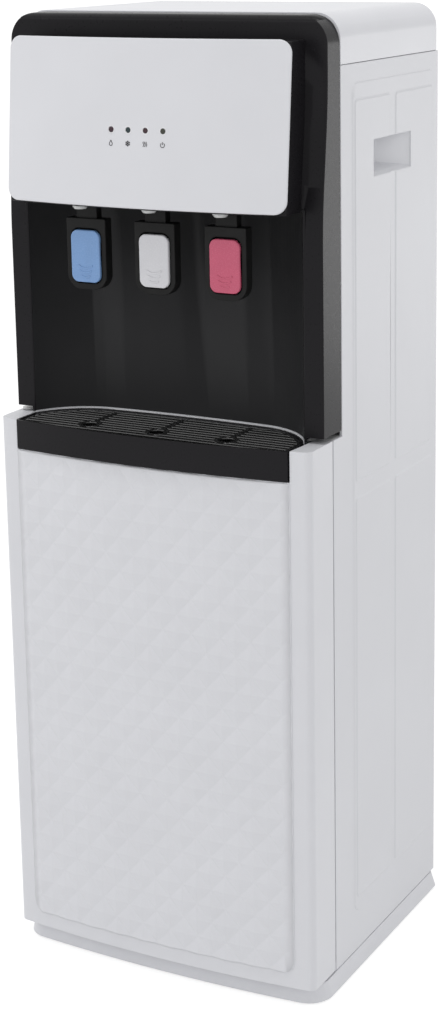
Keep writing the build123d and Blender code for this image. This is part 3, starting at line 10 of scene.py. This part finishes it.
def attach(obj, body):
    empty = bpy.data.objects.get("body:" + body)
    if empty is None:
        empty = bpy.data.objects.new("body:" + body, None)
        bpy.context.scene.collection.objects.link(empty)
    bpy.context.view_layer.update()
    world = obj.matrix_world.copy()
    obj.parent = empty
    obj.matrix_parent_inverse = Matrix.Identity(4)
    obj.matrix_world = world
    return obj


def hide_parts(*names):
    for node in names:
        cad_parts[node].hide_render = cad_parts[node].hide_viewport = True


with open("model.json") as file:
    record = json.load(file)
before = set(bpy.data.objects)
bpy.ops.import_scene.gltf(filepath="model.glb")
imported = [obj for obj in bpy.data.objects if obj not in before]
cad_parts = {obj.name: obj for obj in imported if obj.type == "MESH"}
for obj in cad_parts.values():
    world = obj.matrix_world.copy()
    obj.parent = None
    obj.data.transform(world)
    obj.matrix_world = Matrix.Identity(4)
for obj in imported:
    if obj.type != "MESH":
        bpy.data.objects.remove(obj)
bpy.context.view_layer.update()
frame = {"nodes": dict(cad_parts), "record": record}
cadNodes = frame["nodes"]


print("frame loaded:", len(cadNodes), "nodes")


# a noise's values mostly lie within spread, which is drawn out over the whole range of a finish;
# as a bump it stands up to height, in metres
noiseLook = {"detail": 2.0, "spread": (0.3, 0.7), "height": 0.0004}


def newMaterial(name):
    material = bpy.data.materials.new(name)
    material.use_nodes = True
    tree = material.node_tree
    return material, tree, tree.nodes["Principled BSDF"]


def addNoise(tree, coords, scale, stretch=(1, 1, 1)):
    mapping = tree.nodes.new("ShaderNodeMapping")
    mapping.inputs["Scale"].default_value = stretch
    noise = tree.nodes.new("ShaderNodeTexNoise")
    noise.inputs["Scale"].default_value = scale
    noise.inputs["Detail"].default_value = noiseLook["detail"]
    tree.links.new(coords.outputs["Object"], mapping.inputs["Vector"])
    tree.links.new(mapping.outputs["Vector"], noise.inputs["Vector"])
    return noise.outputs["Fac"]


def addRange(tree, source, low, high, spread=noiseLook["spread"]):
    scaled = tree.nodes.new("ShaderNodeMapRange")
    scaled.inputs["From Min"].default_value, scaled.inputs["From Max"].default_value = spread
    scaled.inputs["To Min"].default_value = low
    scaled.inputs["To Max"].default_value = high
    tree.links.new(source, scaled.inputs["Value"])
    return scaled.outputs["Result"]


def addTint(tree, source, dark, light):
    ramp = tree.nodes.new("ShaderNodeValToRGB")
    for element, color, position in zip(ramp.color_ramp.elements, (dark, light), noiseLook["spread"]):
        element.color = (*color, 1)
        element.position = position
    tree.links.new(source, ramp.inputs["Fac"])
    return ramp.outputs["Color"]


def addBump(tree, shader, source, strength):
    bump = tree.nodes.new("ShaderNodeBump")
    bump.inputs["Strength"].default_value = strength
    bump.inputs["Distance"].default_value = noiseLook["height"]
    tree.links.new(source, bump.inputs["Height"])
    tree.links.new(bump.outputs["Normal"], shader.inputs["Normal"])


# vary is the share that the color strays by, rough goes from the smoothest to the dullest spot, and
# tile and grain are the broad and the fine pattern, in cycles per metre
finishes = {
    "white_plastic": dict(
        color=(0.705, 0.71, 0.742), vary=0.012, rough=(0.30, 0.38),
        grain=700, bump=0.03, tile=14, gloss=0.3,
    ),
    "white_panel": dict(
        color=(0.71, 0.715, 0.745), vary=0.012, rough=(0.34, 0.42),
        grain=420, bump=0.05, tile=9, gloss=0.15,
    ),
    "white_inner": dict(
        color=(0.68, 0.68, 0.69), vary=0.03, rough=(0.45, 0.6),
        grain=900, bump=0.08, tile=20,
    ),
    "black_gloss": dict(
        color=(0.0115, 0.0108, 0.0125), vary=0.1, rough=(0.27, 0.30),
        grain=300, bump=0.004, tile=6, gloss=0.12,
    ),
    # the alcove's black is the bezel's plastic painted lighter: painted light that makes up for the shade
    # inside the hollow
    "alcove_black": dict(
        color=(0.029, 0.029, 0.0305), vary=0.06, rough=(0.40, 0.46),
        grain=900, bump=0.02, tile=12, gloss=0.14,
    ),
    "black_matte": dict(
        color=(0.011, 0.011, 0.011), vary=0.2, rough=(0.42, 0.52),
        grain=1500, bump=0.1, tile=40, gloss=0.16,
    ),
    "grille_black": dict(
        color=(0.014, 0.014, 0.014), vary=0.1, rough=(0.12, 0.15),
        grain=1500, bump=0.02, tile=40, gloss=1.0,
    ),
    "black_rubber": dict(
        color=(0.015, 0.015, 0.015), vary=0.2, rough=(0.7, 0.85),
        grain=1200, bump=0.2, tile=60, gloss=0.3,
    ),
    "clear_lens": dict(
        color=(0.05, 0.05, 0.05), vary=0.1, rough=(0.08, 0.14),
        grain=900, bump=0.02, tile=60,
    ),
    "clear_nozzle": dict(
        color=(0.62, 0.63, 0.63), vary=0.03, rough=(0.15, 0.25),
        grain=900, bump=0.02, tile=60,
    ),
    "board_green": dict(
        color=(0.02, 0.12, 0.05), vary=0.2, rough=(0.3, 0.4),
        grain=600, bump=0.1, tile=90,
    ),
    "paddle_blue": dict(
        color=(0.19, 0.34, 0.62), vary=0.03, rough=(0.22, 0.3),
        grain=900, bump=0.03, tile=60,
    ),
    "paddle_white": dict(
        color=(0.66, 0.66, 0.69), vary=0.02, rough=(0.22, 0.3),
        grain=900, bump=0.03, tile=60,
    ),
    "paddle_red": dict(
        color=(0.56, 0.095, 0.17), vary=0.03, rough=(0.22, 0.3),
        grain=900, bump=0.03, tile=60,
    ),
    "rocker_green": dict(
        color=(0.03, 0.28, 0.06), vary=0.05, rough=(0.25, 0.3),
        grain=900, bump=0.03, tile=60,
    ),
    "steel": dict(
        color=(0.5, 0.5, 0.5), vary=0.05, rough=(0.25, 0.4),
        grain=1500, bump=0.1, tile=50, metal=1,
    ),
    "stainless": dict(
        color=(0.55, 0.55, 0.56), vary=0.04, rough=(0.22, 0.34),
        grain=90, bump=0.05, tile=20, metal=1, stretch=(1, 1, 40),
    ),
    "zinc_sheet": dict(
        color=(0.50, 0.51, 0.52), vary=0.05, rough=(0.36, 0.48),
        grain=110, bump=0.02, tile=60, metal=1,
    ),
    "aluminium": dict(
        color=(0.62, 0.62, 0.63), vary=0.04, rough=(0.3, 0.4),
        grain=400, bump=0.04, tile=20, metal=1,
    ),
    "copper": dict(
        color=(0.6, 0.27, 0.15), vary=0.12, rough=(0.22, 0.4),
        grain=300, bump=0.04, tile=40, metal=1,
    ),
    "condenser_black": dict(
        color=(0.012, 0.012, 0.012), vary=0.3, rough=(0.3, 0.42),
        grain=700, bump=0.08, tile=30,
    ),
    "foam": dict(color=(0.62, 0.55, 0.36), vary=0.08, rough=(0.8, 0.9), grain=500, bump=0.5, tile=60),
    "silicone": dict(
        color=(0.66, 0.66, 0.64), vary=0.03, rough=(0.3, 0.4),
        grain=500, bump=0.02, tile=30,
    ),
    "mark_grey": dict(
        color=(0.03, 0.03, 0.034), vary=0.1, rough=(0.4, 0.5),
        grain=1500, bump=0.05, tile=300,
    ),
    # painted highlight: a white brighter than the panel, for the pale rings round the lamp lenses
    "lens_highlight_white": dict(
        color=(0.82, 0.82, 0.83), vary=0.01, rough=(0.2, 0.3),
        grain=1500, bump=0.02, tile=300,
    ),
}
palette = {}
for slotName, look in finishes.items():
    material, tree, shader = newMaterial(slotName)
    coords = tree.nodes.new("ShaderNodeTexCoord")
    broad = addNoise(tree, coords, look["tile"])
    fine = addNoise(tree, coords, look["grain"], look.get("stretch", (1, 1, 1)))
    dark = [c * (1 - look["vary"]) for c in look["color"]]
    light = [c * (1 + look["vary"]) for c in look["color"]]
    tree.links.new(addTint(tree, broad, dark, light), shader.inputs["Base Color"])
    tree.links.new(addRange(tree, fine, *look["rough"]), shader.inputs["Roughness"])
    shader.inputs["Metallic"].default_value = look.get("metal", 0)
    shader.inputs["Specular IOR Level"].default_value = look.get("gloss", 0.5)
    addBump(tree, shader, fine, look["bump"])
    palette[slotName] = material

# each of the four lamps has a dark color of its own, which changes at these places along X
lampColors = {
    "changes": (-0.0194, 0.0, 0.0194),
    "colors": ((0.030, 0.006, 0.016), (0.008, 0.026, 0.030), (0.034, 0.008, 0.014), (0.030, 0.034, 0.022)),
    "reach": 0.1,  # the ramp goes this far to either side
}
lensTree = palette["clear_lens"].node_tree
lensCoords = next(node for node in lensTree.nodes if node.type == "TEX_COORD")
lensAxes = lensTree.nodes.new("ShaderNodeSeparateXYZ")
lensTree.links.new(lensCoords.outputs["Object"], lensAxes.inputs["Vector"])
lensPlace = addRange(lensTree, lensAxes.outputs["X"], 0, 1, (-lampColors["reach"], lampColors["reach"]))
lensRamp = lensTree.nodes.new("ShaderNodeValToRGB")
lensRamp.color_ramp.interpolation = "CONSTANT"
lensRamp.color_ramp.elements[0].color = (*lampColors["colors"][0], 1)
lensRamp.color_ramp.elements.remove(lensRamp.color_ramp.elements[1])
for place, color in zip(lampColors["changes"], lampColors["colors"][1:]):
    lensRamp.color_ramp.elements.new(0.5 + place / lampColors["reach"] / 2).color = (*color, 1)
lensTree.links.new(lensPlace, lensRamp.inputs["Fac"])
lensTree.links.new(lensRamp.outputs["Color"], lensTree.nodes["Principled BSDF"].inputs["Base Color"])

slotOf = {row["node"]: row["material_slot"] for row in frame["record"]["subparts"]}
bodies = frame["record"]["behaviour"]["bodies"]
bodyOf = {member: body for body, members in bodies.items() for member in members}
for nodeName, node in cadNodes.items():
    node.data.materials.clear()
    node.data.materials.append(palette[slotOf[nodeName]])
print("materials made:", len(palette))

photoCamera = {
    "place": (1.0138, -1.8381, 1.0935),
    "azimuth": 27.76,
    "elevation": 12.51,
    "roll": -0.799,
    "lens": 72.07,
    "shift": (-0.0379, -0.1316),
    "farthest": 50,  # metres
}
azimuth, elevation, roll = (radians(photoCamera[key]) for key in ("azimuth", "elevation", "roll"))
forward = Vector((-sin(azimuth) * cos(elevation), cos(azimuth) * cos(elevation), -sin(elevation)))
right = Vector((cos(azimuth), sin(azimuth), 0))
up = right.cross(forward)
rolledRight = right * cos(roll) + up * sin(roll)
rolledUp = up * cos(roll) - right * sin(roll)
cameraData = bpy.data.cameras.new("photoCamera")
camera = bpy.data.objects.new("photoCamera", cameraData)
bpy.context.scene.collection.objects.link(camera)
camera.matrix_world = Matrix.Translation(photoCamera["place"]) @ Matrix(
    (rolledRight, rolledUp, -forward)
).transposed().to_4x4()
cameraData.lens = photoCamera["lens"]
cameraData.shift_x, cameraData.shift_y = photoCamera["shift"]
cameraData.clip_end = photoCamera["farthest"]
bpy.context.scene.camera = camera


def turnShape(shape, verts, degrees, axis):
    bmesh.ops.rotate(shape, verts=verts, cent=(0, 0, 0), matrix=Matrix.Rotation(radians(degrees), 3, axis))


def placeShape(name, shape, slotName, bodyName, sharp, materialName=None):
    mesh = bpy.data.meshes.new(name)
    shape.to_mesh(mesh)
    shape.free()
    mesh.shade_smooth()
    mesh.set_sharp_from_angle(angle=radians(sharp))
    mesh.materials.append(palette[materialName or slotName])
    piece = bpy.data.objects.new(name, mesh)
    bpy.context.scene.collection.objects.link(piece)
    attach(piece, bodyName)
    return piece


# a piece's copy is joined up first: metres, metres and degrees
joining = {"close": 0.000005, "shortest": 0.000002, "flat": 0.5}


def mergedCopy(nodeName):
    shape = bmesh.new()
    shape.from_mesh(cadNodes[nodeName].data)
    bmesh.ops.remove_doubles(shape, verts=shape.verts[:], dist=joining["close"])
    bmesh.ops.dissolve_degenerate(shape, edges=shape.edges[:], dist=joining["shortest"])
    bmesh.ops.dissolve_limit(
        shape, angle_limit=radians(joining["flat"]), verts=shape.verts[:], edges=shape.edges[:]
    )
    return shape


# the side panels' embossing: raised fields in levels one step apart, which get sloping borders
embossing = {"levels": 2, "step": 0.0008, "slope": 0.0016, "close": 0.00003}


def slopeBorders(shape, outward):
    outermost = max(vert.co.x * outward for vert in shape.verts)
    for order in range(embossing["levels"]):
        level = outermost - order * embossing["step"]
        field = [
            face
            for face in shape.faces
            if all(abs(vert.co.x * outward - level) < embossing["close"] for vert in face.verts)
        ]
        rim = bmesh.ops.inset_region(
            shape, faces=field, thickness=embossing["slope"], use_boundary=True, use_even_offset=True,
        )["faces"]
        inner = {vert for face in field for vert in face.verts}
        outer = {vert for face in rim for vert in face.verts} - inner
        foot = level - embossing["step"]
        border = [
            vert
            for vert in outer
            if any(
                abs(edge.other_vert(vert).co.x * outward - foot) < embossing["close"]
                for edge in vert.link_edges
            )
        ]
        bmesh.ops.translate(shape, verts=border, vec=(-outward * embossing["step"], 0, 0))
        bmesh.ops.remove_doubles(shape, verts=shape.verts[:], dist=embossing["close"])


# edge is the rounding of the outer edges between the corners low and high that reach above a height,
# in metres; folds sharper than fold get it, and shading stays smooth up to sharp, both in degrees
rounding = {"low": (-1, -1, 0), "high": (1, 1, 2), "above": 0, "fold": 28, "sharp": 40, "segments": 2}
roundedPieces = {
    "front_bezel": dict(
        edge=0.0012, high=(1, -0.1030, 2), above=0.601,
        inner=((-0.1581, -0.1155, 0.59), (0.1581, -0.066, 0.8235)),
    ),
    "drip_grille": dict(edge=0.0009),
    "drip_tray": dict(edge=0.0008, high=(1, -0.12, 2)),
    "door_outer": dict(edge=0.0005, high=(1, -0.135, 2)),
    "right_side_panel": dict(edge=0.0005, low=(0.1797, -1, 0), outward=1, sharp=12),
    "left_side_panel": dict(edge=0.0005, high=(-0.1797, 1, 2), outward=-1, sharp=12),
    "top_cover": dict(edge=0.0006, low=(-1, -1, 0.95)),
    "base_plinth": dict(edge=0.0010, high=(1, 1, 0.03)),
    "paddle_frames": dict(edge=0.0008, high=(1, -0.12, 2)),
    "paddle_cold": dict(edge=0.0003, high=(1, 1, 0.765)),
    "paddle_room": dict(edge=0.0003, high=(1, 1, 0.765)),
    "paddle_hot": dict(edge=0.0003, high=(1, 1, 0.765)),
}
for nodeName, pieceLook in roundedPieces.items():
    look = {**rounding, **pieceLook}
    shape = mergedCopy(nodeName)
    if "outward" in look:
        slopeBorders(shape, look["outward"])
    low, high = Vector(look["low"]), Vector(look["high"])
    outer = [
        edge
        for edge in shape.edges
        if edge.is_manifold
        and edge.is_convex
        and edge.calc_face_angle() > radians(look["fold"])
        and all(low[i] <= vert.co[i] <= high[i] for vert in edge.verts for i in range(3))
        and max(vert.co.z for vert in edge.verts) > look["above"]
    ]
    bmesh.ops.bevel(
        shape, geom=outer, offset=look["edge"], segments=look["segments"], profile=0.5, affect="EDGES",
        material=-1, offset_type="OFFSET", clamp_overlap=False, loop_slide=False,
    )
    if "inner" in look:  # the faces of the hollow take the second material, a black lighter than the bezel's own: painted light that lifts the shade inside the hollow
        innerLow, innerHigh = look["inner"]
        for face in shape.faces:
            center = face.calc_center_median()
            face.material_index = int(all(innerLow[i] <= center[i] <= innerHigh[i] for i in range(3)))
    count = len(shape.faces)
    piece = placeShape(nodeName + "_rounded", shape, slotOf[nodeName], bodyOf[nodeName], look["sharp"])
    # painted light: the hollow gets a lighter copy of the bezel's black
    if "inner" in look:
        piece.data.materials.append(palette["alcove_black"])
    weighted = piece.modifiers.new("weighted", "WEIGHTED_NORMAL")
    weighted.keep_sharp = True
    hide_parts(nodeName)
    print("rounded:", nodeName, len(outer), "edges,", count, "faces")


def surfaceOf(nodeName):
    shape = bmesh.new()
    shape.from_mesh(cadNodes[nodeName].data)
    tree = BVHTree.FromBMesh(shape)
    shape.free()
    return tree


def surfacePoint(surface, x, z):
    # the point that is seen at x and z from the front, and the way it faces
    return surface.ray_cast(Vector((x, -1, z)), Vector((0, 1, 0)))[:2]


def layOn(shape, surface, lift):
    # each point goes to the surface behind it, and keeps its own height as relief
    for vert in shape.verts:
        vert.co.y += surfacePoint(surface, vert.co.x, vert.co.z)[0].y - lift


# the door's quilted field: rhombi of this width and height, each a low pyramid
quilt = {
    "cell": (0.033, 0.037),
    "rise": 0.0013,
    "field": ((-0.158, 0.040), (0.158, 0.562)),
    "corner": 0.0135,
    "cornerSteps": 8,
    "lift": 0.00005,
    "thickness": 0.0006,
    "count": 24,  # cells each way, before the field is cut out
    "close": 0.000001,
}
quiltShape = bmesh.new()
quiltCount = quilt["count"]
bmesh.ops.create_grid(quiltShape, x_segments=quiltCount, y_segments=quiltCount, size=quiltCount / 2)
turnShape(quiltShape, quiltShape.verts[:], 45, "Z")
cellWidth, cellHeight = (length / 2 ** 0.5 for length in quilt["cell"])
bmesh.ops.scale(quiltShape, verts=quiltShape.verts[:], vec=(cellWidth, cellHeight, 1))
bmesh.ops.poke(quiltShape, faces=quiltShape.faces[:], offset=quilt["rise"], center_mode="MEAN")
turnShape(quiltShape, quiltShape.verts[:], 90, "X")
(fieldLeft, fieldBottom), (fieldRight, fieldTop) = quilt["field"]
bmesh.ops.translate(quiltShape, verts=quiltShape.verts[:], vec=(0, 0, (fieldBottom + fieldTop) / 2))
cuts = [
    ((fieldLeft, 0, 0), (-1, 0, 0)),
    ((fieldRight, 0, 0), (1, 0, 0)),
    ((0, 0, fieldBottom), (0, 0, -1)),
    ((0, 0, fieldTop), (0, 0, 1)),
]
for side, fieldEdge in ((-1, fieldLeft), (1, fieldRight)):  # the two rounded bottom corners
    center = Vector((fieldEdge - side * quilt["corner"], 0, fieldBottom + quilt["corner"]))
    for step in range(1, quilt["cornerSteps"]):
        angle = radians(90 * step / quilt["cornerSteps"])
        outward = Vector((side * sin(angle), 0, -cos(angle)))
        cuts.append((center + outward * quilt["corner"], outward))
for place, outward in cuts:
    bmesh.ops.bisect_plane(
        quiltShape, geom=quiltShape.verts[:] + quiltShape.edges[:] + quiltShape.faces[:],
        dist=quilt["close"], plane_co=place, plane_no=outward, clear_outer=True,
    )
layOn(quiltShape, surfaceOf("door_outer"), quilt["lift"])
quiltPiece = placeShape("door_quilt", quiltShape, "white_plastic", "door", sharp=1)
wall = quiltPiece.modifiers.new("wall", "SOLIDIFY")
wall.thickness = quilt["thickness"]
wall.offset = -1
print("quilt made:", len(quiltPiece.data.polygons), "faces")

# pale rings round the lamps, a painted highlight of the lens rims in a white brighter than the panel; the
# panel is open at a lamp, so its slope is taken beside it
lensRing = {
    "places": (-0.0291, -0.0097, 0.0097, 0.0291),
    "height": 0.8997,
    "radius": 0.0036,
    "wire": 0.0004,
    "wireSides": 10,
    "steps": 40,
    "flatness": 0.6,
    "lift": 0.00005,
    "beside": 0.004,
}
panelSurface = surfaceOf("display_panel")


def turnToPanel(shape, x, z, lift):
    # from flat on the ground plane to flat on the display panel at x and z
    point, normal = surfacePoint(panelSurface, x, z)
    side = Vector((0, 0, 1)).cross(normal).normalized()
    turn = Matrix((side, normal.cross(side), normal)).transposed()
    bmesh.ops.rotate(shape, verts=shape.verts[:], cent=(0, 0, 0), matrix=turn)
    bmesh.ops.translate(shape, verts=shape.verts[:], vec=point + normal * lift)


def merge(target, shape):
    mesh = bpy.data.meshes.new("merge")
    shape.to_mesh(mesh)
    shape.free()
    target.from_mesh(mesh)
    bpy.data.meshes.remove(mesh)


ringShape = bmesh.new()
for place in lensRing["places"]:
    oneRing = bmesh.new()
    profile = bmesh.ops.create_circle(
        oneRing, segments=lensRing["wireSides"], radius=lensRing["wire"]
    )["verts"]
    turnShape(oneRing, profile, 90, "X")
    bmesh.ops.translate(oneRing, verts=profile, vec=(lensRing["radius"], 0, 0))
    bmesh.ops.spin(
        oneRing, geom=oneRing.verts[:] + oneRing.edges[:], cent=(0, 0, 0), axis=(0, 0, 1), angle=radians(360),
        steps=lensRing["steps"], use_merge=True,
    )
    bmesh.ops.scale(oneRing, verts=oneRing.verts[:], vec=(1, 1, lensRing["flatness"]))
    bmesh.ops.recalc_face_normals(oneRing, faces=oneRing.faces[:])
    turnToPanel(oneRing, place + lensRing["beside"], lensRing["height"], lensRing["lift"])
    bmesh.ops.translate(oneRing, verts=oneRing.verts[:], vec=(-lensRing["beside"], 0, 0))
    merge(ringShape, oneRing)
# the rings carry the painted highlight of the lens rims
placeShape("lens_highlight_rings", ringShape, "white_plastic", "cabinet", sharp=60, materialName="lens_highlight_white")
print("lens rings made")

# printed signs under the lamps: a drop, a snowflake, rising heat and a power ring
signs = {
    "height": 0.8867,
    "reach": 0.0028,  # from a sign's middle to its edge, which is 1 in the drawings below
    "wire": 0.0006,
    "thickness": 0.0002,
    "lift": 0.00005,
    "arcSteps": 16,
}


def addBar(shape, start, end):
    start, end = Vector((*start, 0)) * signs["reach"], Vector((*end, 0)) * signs["reach"]
    turn = Matrix.Rotation(atan2(end.y - start.y, end.x - start.x), 3, "Z")
    bar = bmesh.ops.create_grid(shape, x_segments=1, y_segments=1, size=0.5)["verts"]
    bmesh.ops.scale(shape, verts=bar, vec=((end - start).length, signs["wire"], 1))
    bmesh.ops.rotate(shape, verts=bar, cent=(0, 0, 0), matrix=turn)
    bmesh.ops.translate(shape, verts=bar, vec=(start + end) / 2)


def addArc(shape, center, radius, first, sweep):
    center, radius = Vector((*center, 0)) * signs["reach"], radius * signs["reach"]
    outward = Vector((cos(radians(first)), sin(radians(first)), 0))
    ends = [
        bmesh.ops.create_vert(shape, co=center + outward * (radius + side * signs["wire"] / 2))["vert"][0]
        for side in (-1, 1)
    ]
    line = bmesh.ops.contextual_create(shape, geom=ends)["edges"]
    bmesh.ops.spin(
        shape, geom=ends + line, cent=center, axis=(0, 0, 1), angle=radians(sweep), steps=signs["arcSteps"],
        use_merge=False, use_normal_flip=False, use_duplicate=False,
    )


def dropSign(shape):
    addArc(shape, (0, -0.32), 0.62, 145, 250)
    addBar(shape, (-0.53, 0.0), (0.03, 1.0))
    addBar(shape, (0.53, 0.0), (-0.03, 1.0))


def snowSign(shape):
    for arm in range(6):
        along = Vector((sin(radians(60 * arm)), cos(radians(60 * arm))))
        aside = Vector((along.y, -along.x))
        addBar(shape, (0, 0), along)
        for side in (-1, 1):
            addBar(shape, along * 0.5, along * 0.8 + aside * side * 0.28)


def heatSign(shape):
    for place in (-0.6, 0, 0.6):
        addArc(shape, (place + 0.35, 0.5), 0.5, 135, 90)
        addArc(shape, (place - 0.35, -0.2), 0.5, -45, 90)
        addBar(shape, (place, -0.55), (place - 0.15, -0.85))


def powerSign(shape):
    addArc(shape, (0, -0.1), 0.8, 125, 290)
    addBar(shape, (0, 0.0), (0, 0.95))


signShape = bmesh.new()
for place, drawSign in zip(lensRing["places"], (dropSign, snowSign, heatSign, powerSign)):
    oneSign = bmesh.new()
    drawSign(oneSign)
    bmesh.ops.recalc_face_normals(oneSign, faces=oneSign.faces[:])
    bmesh.ops.solidify(oneSign, geom=oneSign.faces[:], thickness=signs["thickness"])
    bmesh.ops.recalc_face_normals(oneSign, faces=oneSign.faces[:])
    lowest = min(vert.co.z for vert in oneSign.verts)
    turnToPanel(oneSign, place, signs["height"], signs["lift"] - lowest)
    merge(signShape, oneSign)
placeShape("lamp_signs", signShape, "white_plastic", "cabinet", sharp=30, materialName="mark_grey")
print("signs made")

# the white lip of the deck behind the drip tray, along the alcove's curve: ends and middles of its arcs
deckLip = {
    "arcs": (
        ((0.158, -0.117), (0.134, -0.0865), (0.097, -0.0710)),
        ((0.097, -0.0710), (0.0, -0.0676), (-0.097, -0.0710)),
        ((-0.097, -0.0710), (-0.134, -0.0865), (-0.158, -0.117)),
    ),
    "steps": (14, 24, 14),
    "setback": (0.0003, 0.0017),
    "height": (0.5925, 0.5960),
}


def arcCenter(first, middle, last):
    # the middle of the circle through three points on the ground
    (ax, ay), (bx, by), (cx, cy) = first, middle, last
    twice = 2 * (ax * (by - cy) + bx * (cy - ay) + cx * (ay - by))
    a, b, c = (x * x + y * y for x, y in (first, middle, last))
    return Vector((
        (a * (by - cy) + b * (cy - ay) + c * (ay - by)) / twice,
        (a * (cx - bx) + b * (ax - cx) + c * (bx - ax)) / twice,
        0,
    ))


lipShape = bmesh.new()
nearY, farY = (-back for back in deckLip["setback"])
lipBottom, lipTop = deckLip["height"]
startX, startY = deckLip["arcs"][0][0]
lipSection = bmesh.ops.create_grid(lipShape, x_segments=1, y_segments=1, size=0.5)["verts"]
bmesh.ops.scale(lipShape, verts=lipSection, vec=(nearY - farY, lipTop - lipBottom, 1))
turnShape(lipShape, lipSection, 90, "X")
turnShape(lipShape, lipSection, 90, "Z")
bmesh.ops.translate(
    lipShape, verts=lipSection, vec=(startX, startY + (nearY + farY) / 2, (lipBottom + lipTop) / 2)
)
edgeNow = lipShape.verts[:] + lipShape.edges[:] + lipShape.faces[:]
for arc, steps in zip(deckLip["arcs"], deckLip["steps"]):
    center = arcCenter(*arc)
    angles = [atan2(y - center.y, x - center.x) for x, y in arc]
    sweep = (angles[2] - angles[0] + pi) % (2 * pi) - pi
    edgeNow = bmesh.ops.spin(
        lipShape, geom=edgeNow, cent=center, axis=(0, 0, 1), angle=sweep, steps=steps, use_merge=False,
        use_normal_flip=False, use_duplicate=False,
    )["geom_last"]
bmesh.ops.recalc_face_normals(lipShape, faces=lipShape.faces[:])
placeShape("deck_lip", lipShape, "white_plastic", "cabinet", sharp=30)
print("deck lip made")

# seen is what the camera and mirrors get; the rest of the light comes from ambient and the lamps
studio = {
    "ambient": 0.802,
    "seen": 1.0,
    "floorTone": 0.9,
    "floorRough": 0.9,
    "floorSize": 30.0,
    "floorSeen": 0.77,
    "floorShade": 0.4,
}
world = bpy.data.worlds.new("studio")
bpy.context.scene.world = world
world.use_nodes = True
worldTree = world.node_tree
lit = worldTree.nodes["Background"]
lit.inputs["Color"].default_value = (1, 1, 1, 1)
lit.inputs["Strength"].default_value = studio["ambient"]


def addSeen(tree):
    # 1 where the ray comes from the camera, a mirror or clear glass
    path = tree.nodes.new("ShaderNodeLightPath")
    value = path.outputs["Is Camera Ray"]
    for rayKind in ("Is Glossy Ray", "Is Transmission Ray"):
        either = tree.nodes.new("ShaderNodeMath")
        either.operation = "MAXIMUM"
        tree.links.new(value, either.inputs[0])
        tree.links.new(path.outputs[rayKind], either.inputs[1])
        value = either.outputs["Value"]
    return value


def mixSeen(tree, litShader, seenShader, outputName):
    mix = tree.nodes.new("ShaderNodeMixShader")
    tree.links.new(addSeen(tree), mix.inputs["Fac"])
    tree.links.new(litShader, mix.inputs[1])
    tree.links.new(seenShader, mix.inputs[2])
    tree.links.new(mix.outputs["Shader"], tree.nodes[outputName].inputs["Surface"])


seen = worldTree.nodes.new("ShaderNodeBackground")
seen.inputs["Color"].default_value = (1, 1, 1, 1)
seen.inputs["Strength"].default_value = studio["seen"]
mixSeen(worldTree, lit.outputs["Background"], seen.outputs["Background"], "World Output")

floorMesh = bpy.data.meshes.new("floor")
floorShape = bmesh.new()
bmesh.ops.create_grid(floorShape, x_segments=1, y_segments=1, size=studio["floorSize"])
floorShape.to_mesh(floorMesh)
floorShape.free()
floor = bpy.data.objects.new("floor", floorMesh)
bpy.context.scene.collection.objects.link(floor)
floorMaterial, floorTree, floorShader = newMaterial("floor")
floorShader.inputs["Base Color"].default_value = (studio["floorTone"],) * 3 + (1,)
floorShader.inputs["Roughness"].default_value = studio["floorRough"]
floorGlow = floorTree.nodes.new("ShaderNodeEmission")
floorGlow.inputs["Strength"].default_value = studio["floorSeen"]
floorPale = floorTree.nodes.new("ShaderNodeBsdfDiffuse")
floorPale.inputs["Color"].default_value = (studio["floorShade"],) * 3 + (1,)
floorAdd = floorTree.nodes.new("ShaderNodeAddShader")
floorTree.links.new(floorGlow.outputs["Emission"], floorAdd.inputs[0])
floorTree.links.new(floorPale.outputs["BSDF"], floorAdd.inputs[1])
mixSeen(floorTree, floorShader.outputs["BSDF"], floorAdd.outputs["Shader"], "Material Output")
floorMesh.materials.append(floorMaterial)

lamps = {
    "topLamp": dict(place=(-0.15, -0.7, 3.2), target=(0, 0, 0.9), size=(0.6, 0.6), power=12),
    "frontLamp": dict(place=(-1.2, -2.1, 2.1), target=(0, -0.1, 0.5), size=(2.6, 0.25), power=4.2),
    "stripLamp": dict(place=(-2.1, -1.5, 0.8), target=(0.1, -0.1, 0.6), size=(0.25, 1.6), power=2.5),
    "sideLamp": dict(place=(1.5, 2.7, 0.45), target=(0.18, 0, 0.5), size=(0.75, 1.1), power=6.6),
}
for lampName, lamp in lamps.items():
    lampData = bpy.data.lights.new(lampName, "AREA")
    lampData.shape = "RECTANGLE"
    lampData.size, lampData.size_y = lamp["size"]
    lampData.energy = lamp["power"]
    lampObject = bpy.data.objects.new(lampName, lampData)
    bpy.context.scene.collection.objects.link(lampObject)
    lampObject.visible_camera = False
    aim = (Vector(lamp["target"]) - Vector(lamp["place"])).to_track_quat("-Z", "Y")
    lampObject.matrix_world = Matrix.Translation(lamp["place"]) @ aim.to_matrix().to_4x4()

bpy.context.scene.view_settings.view_transform = "Standard"
print("stage set")
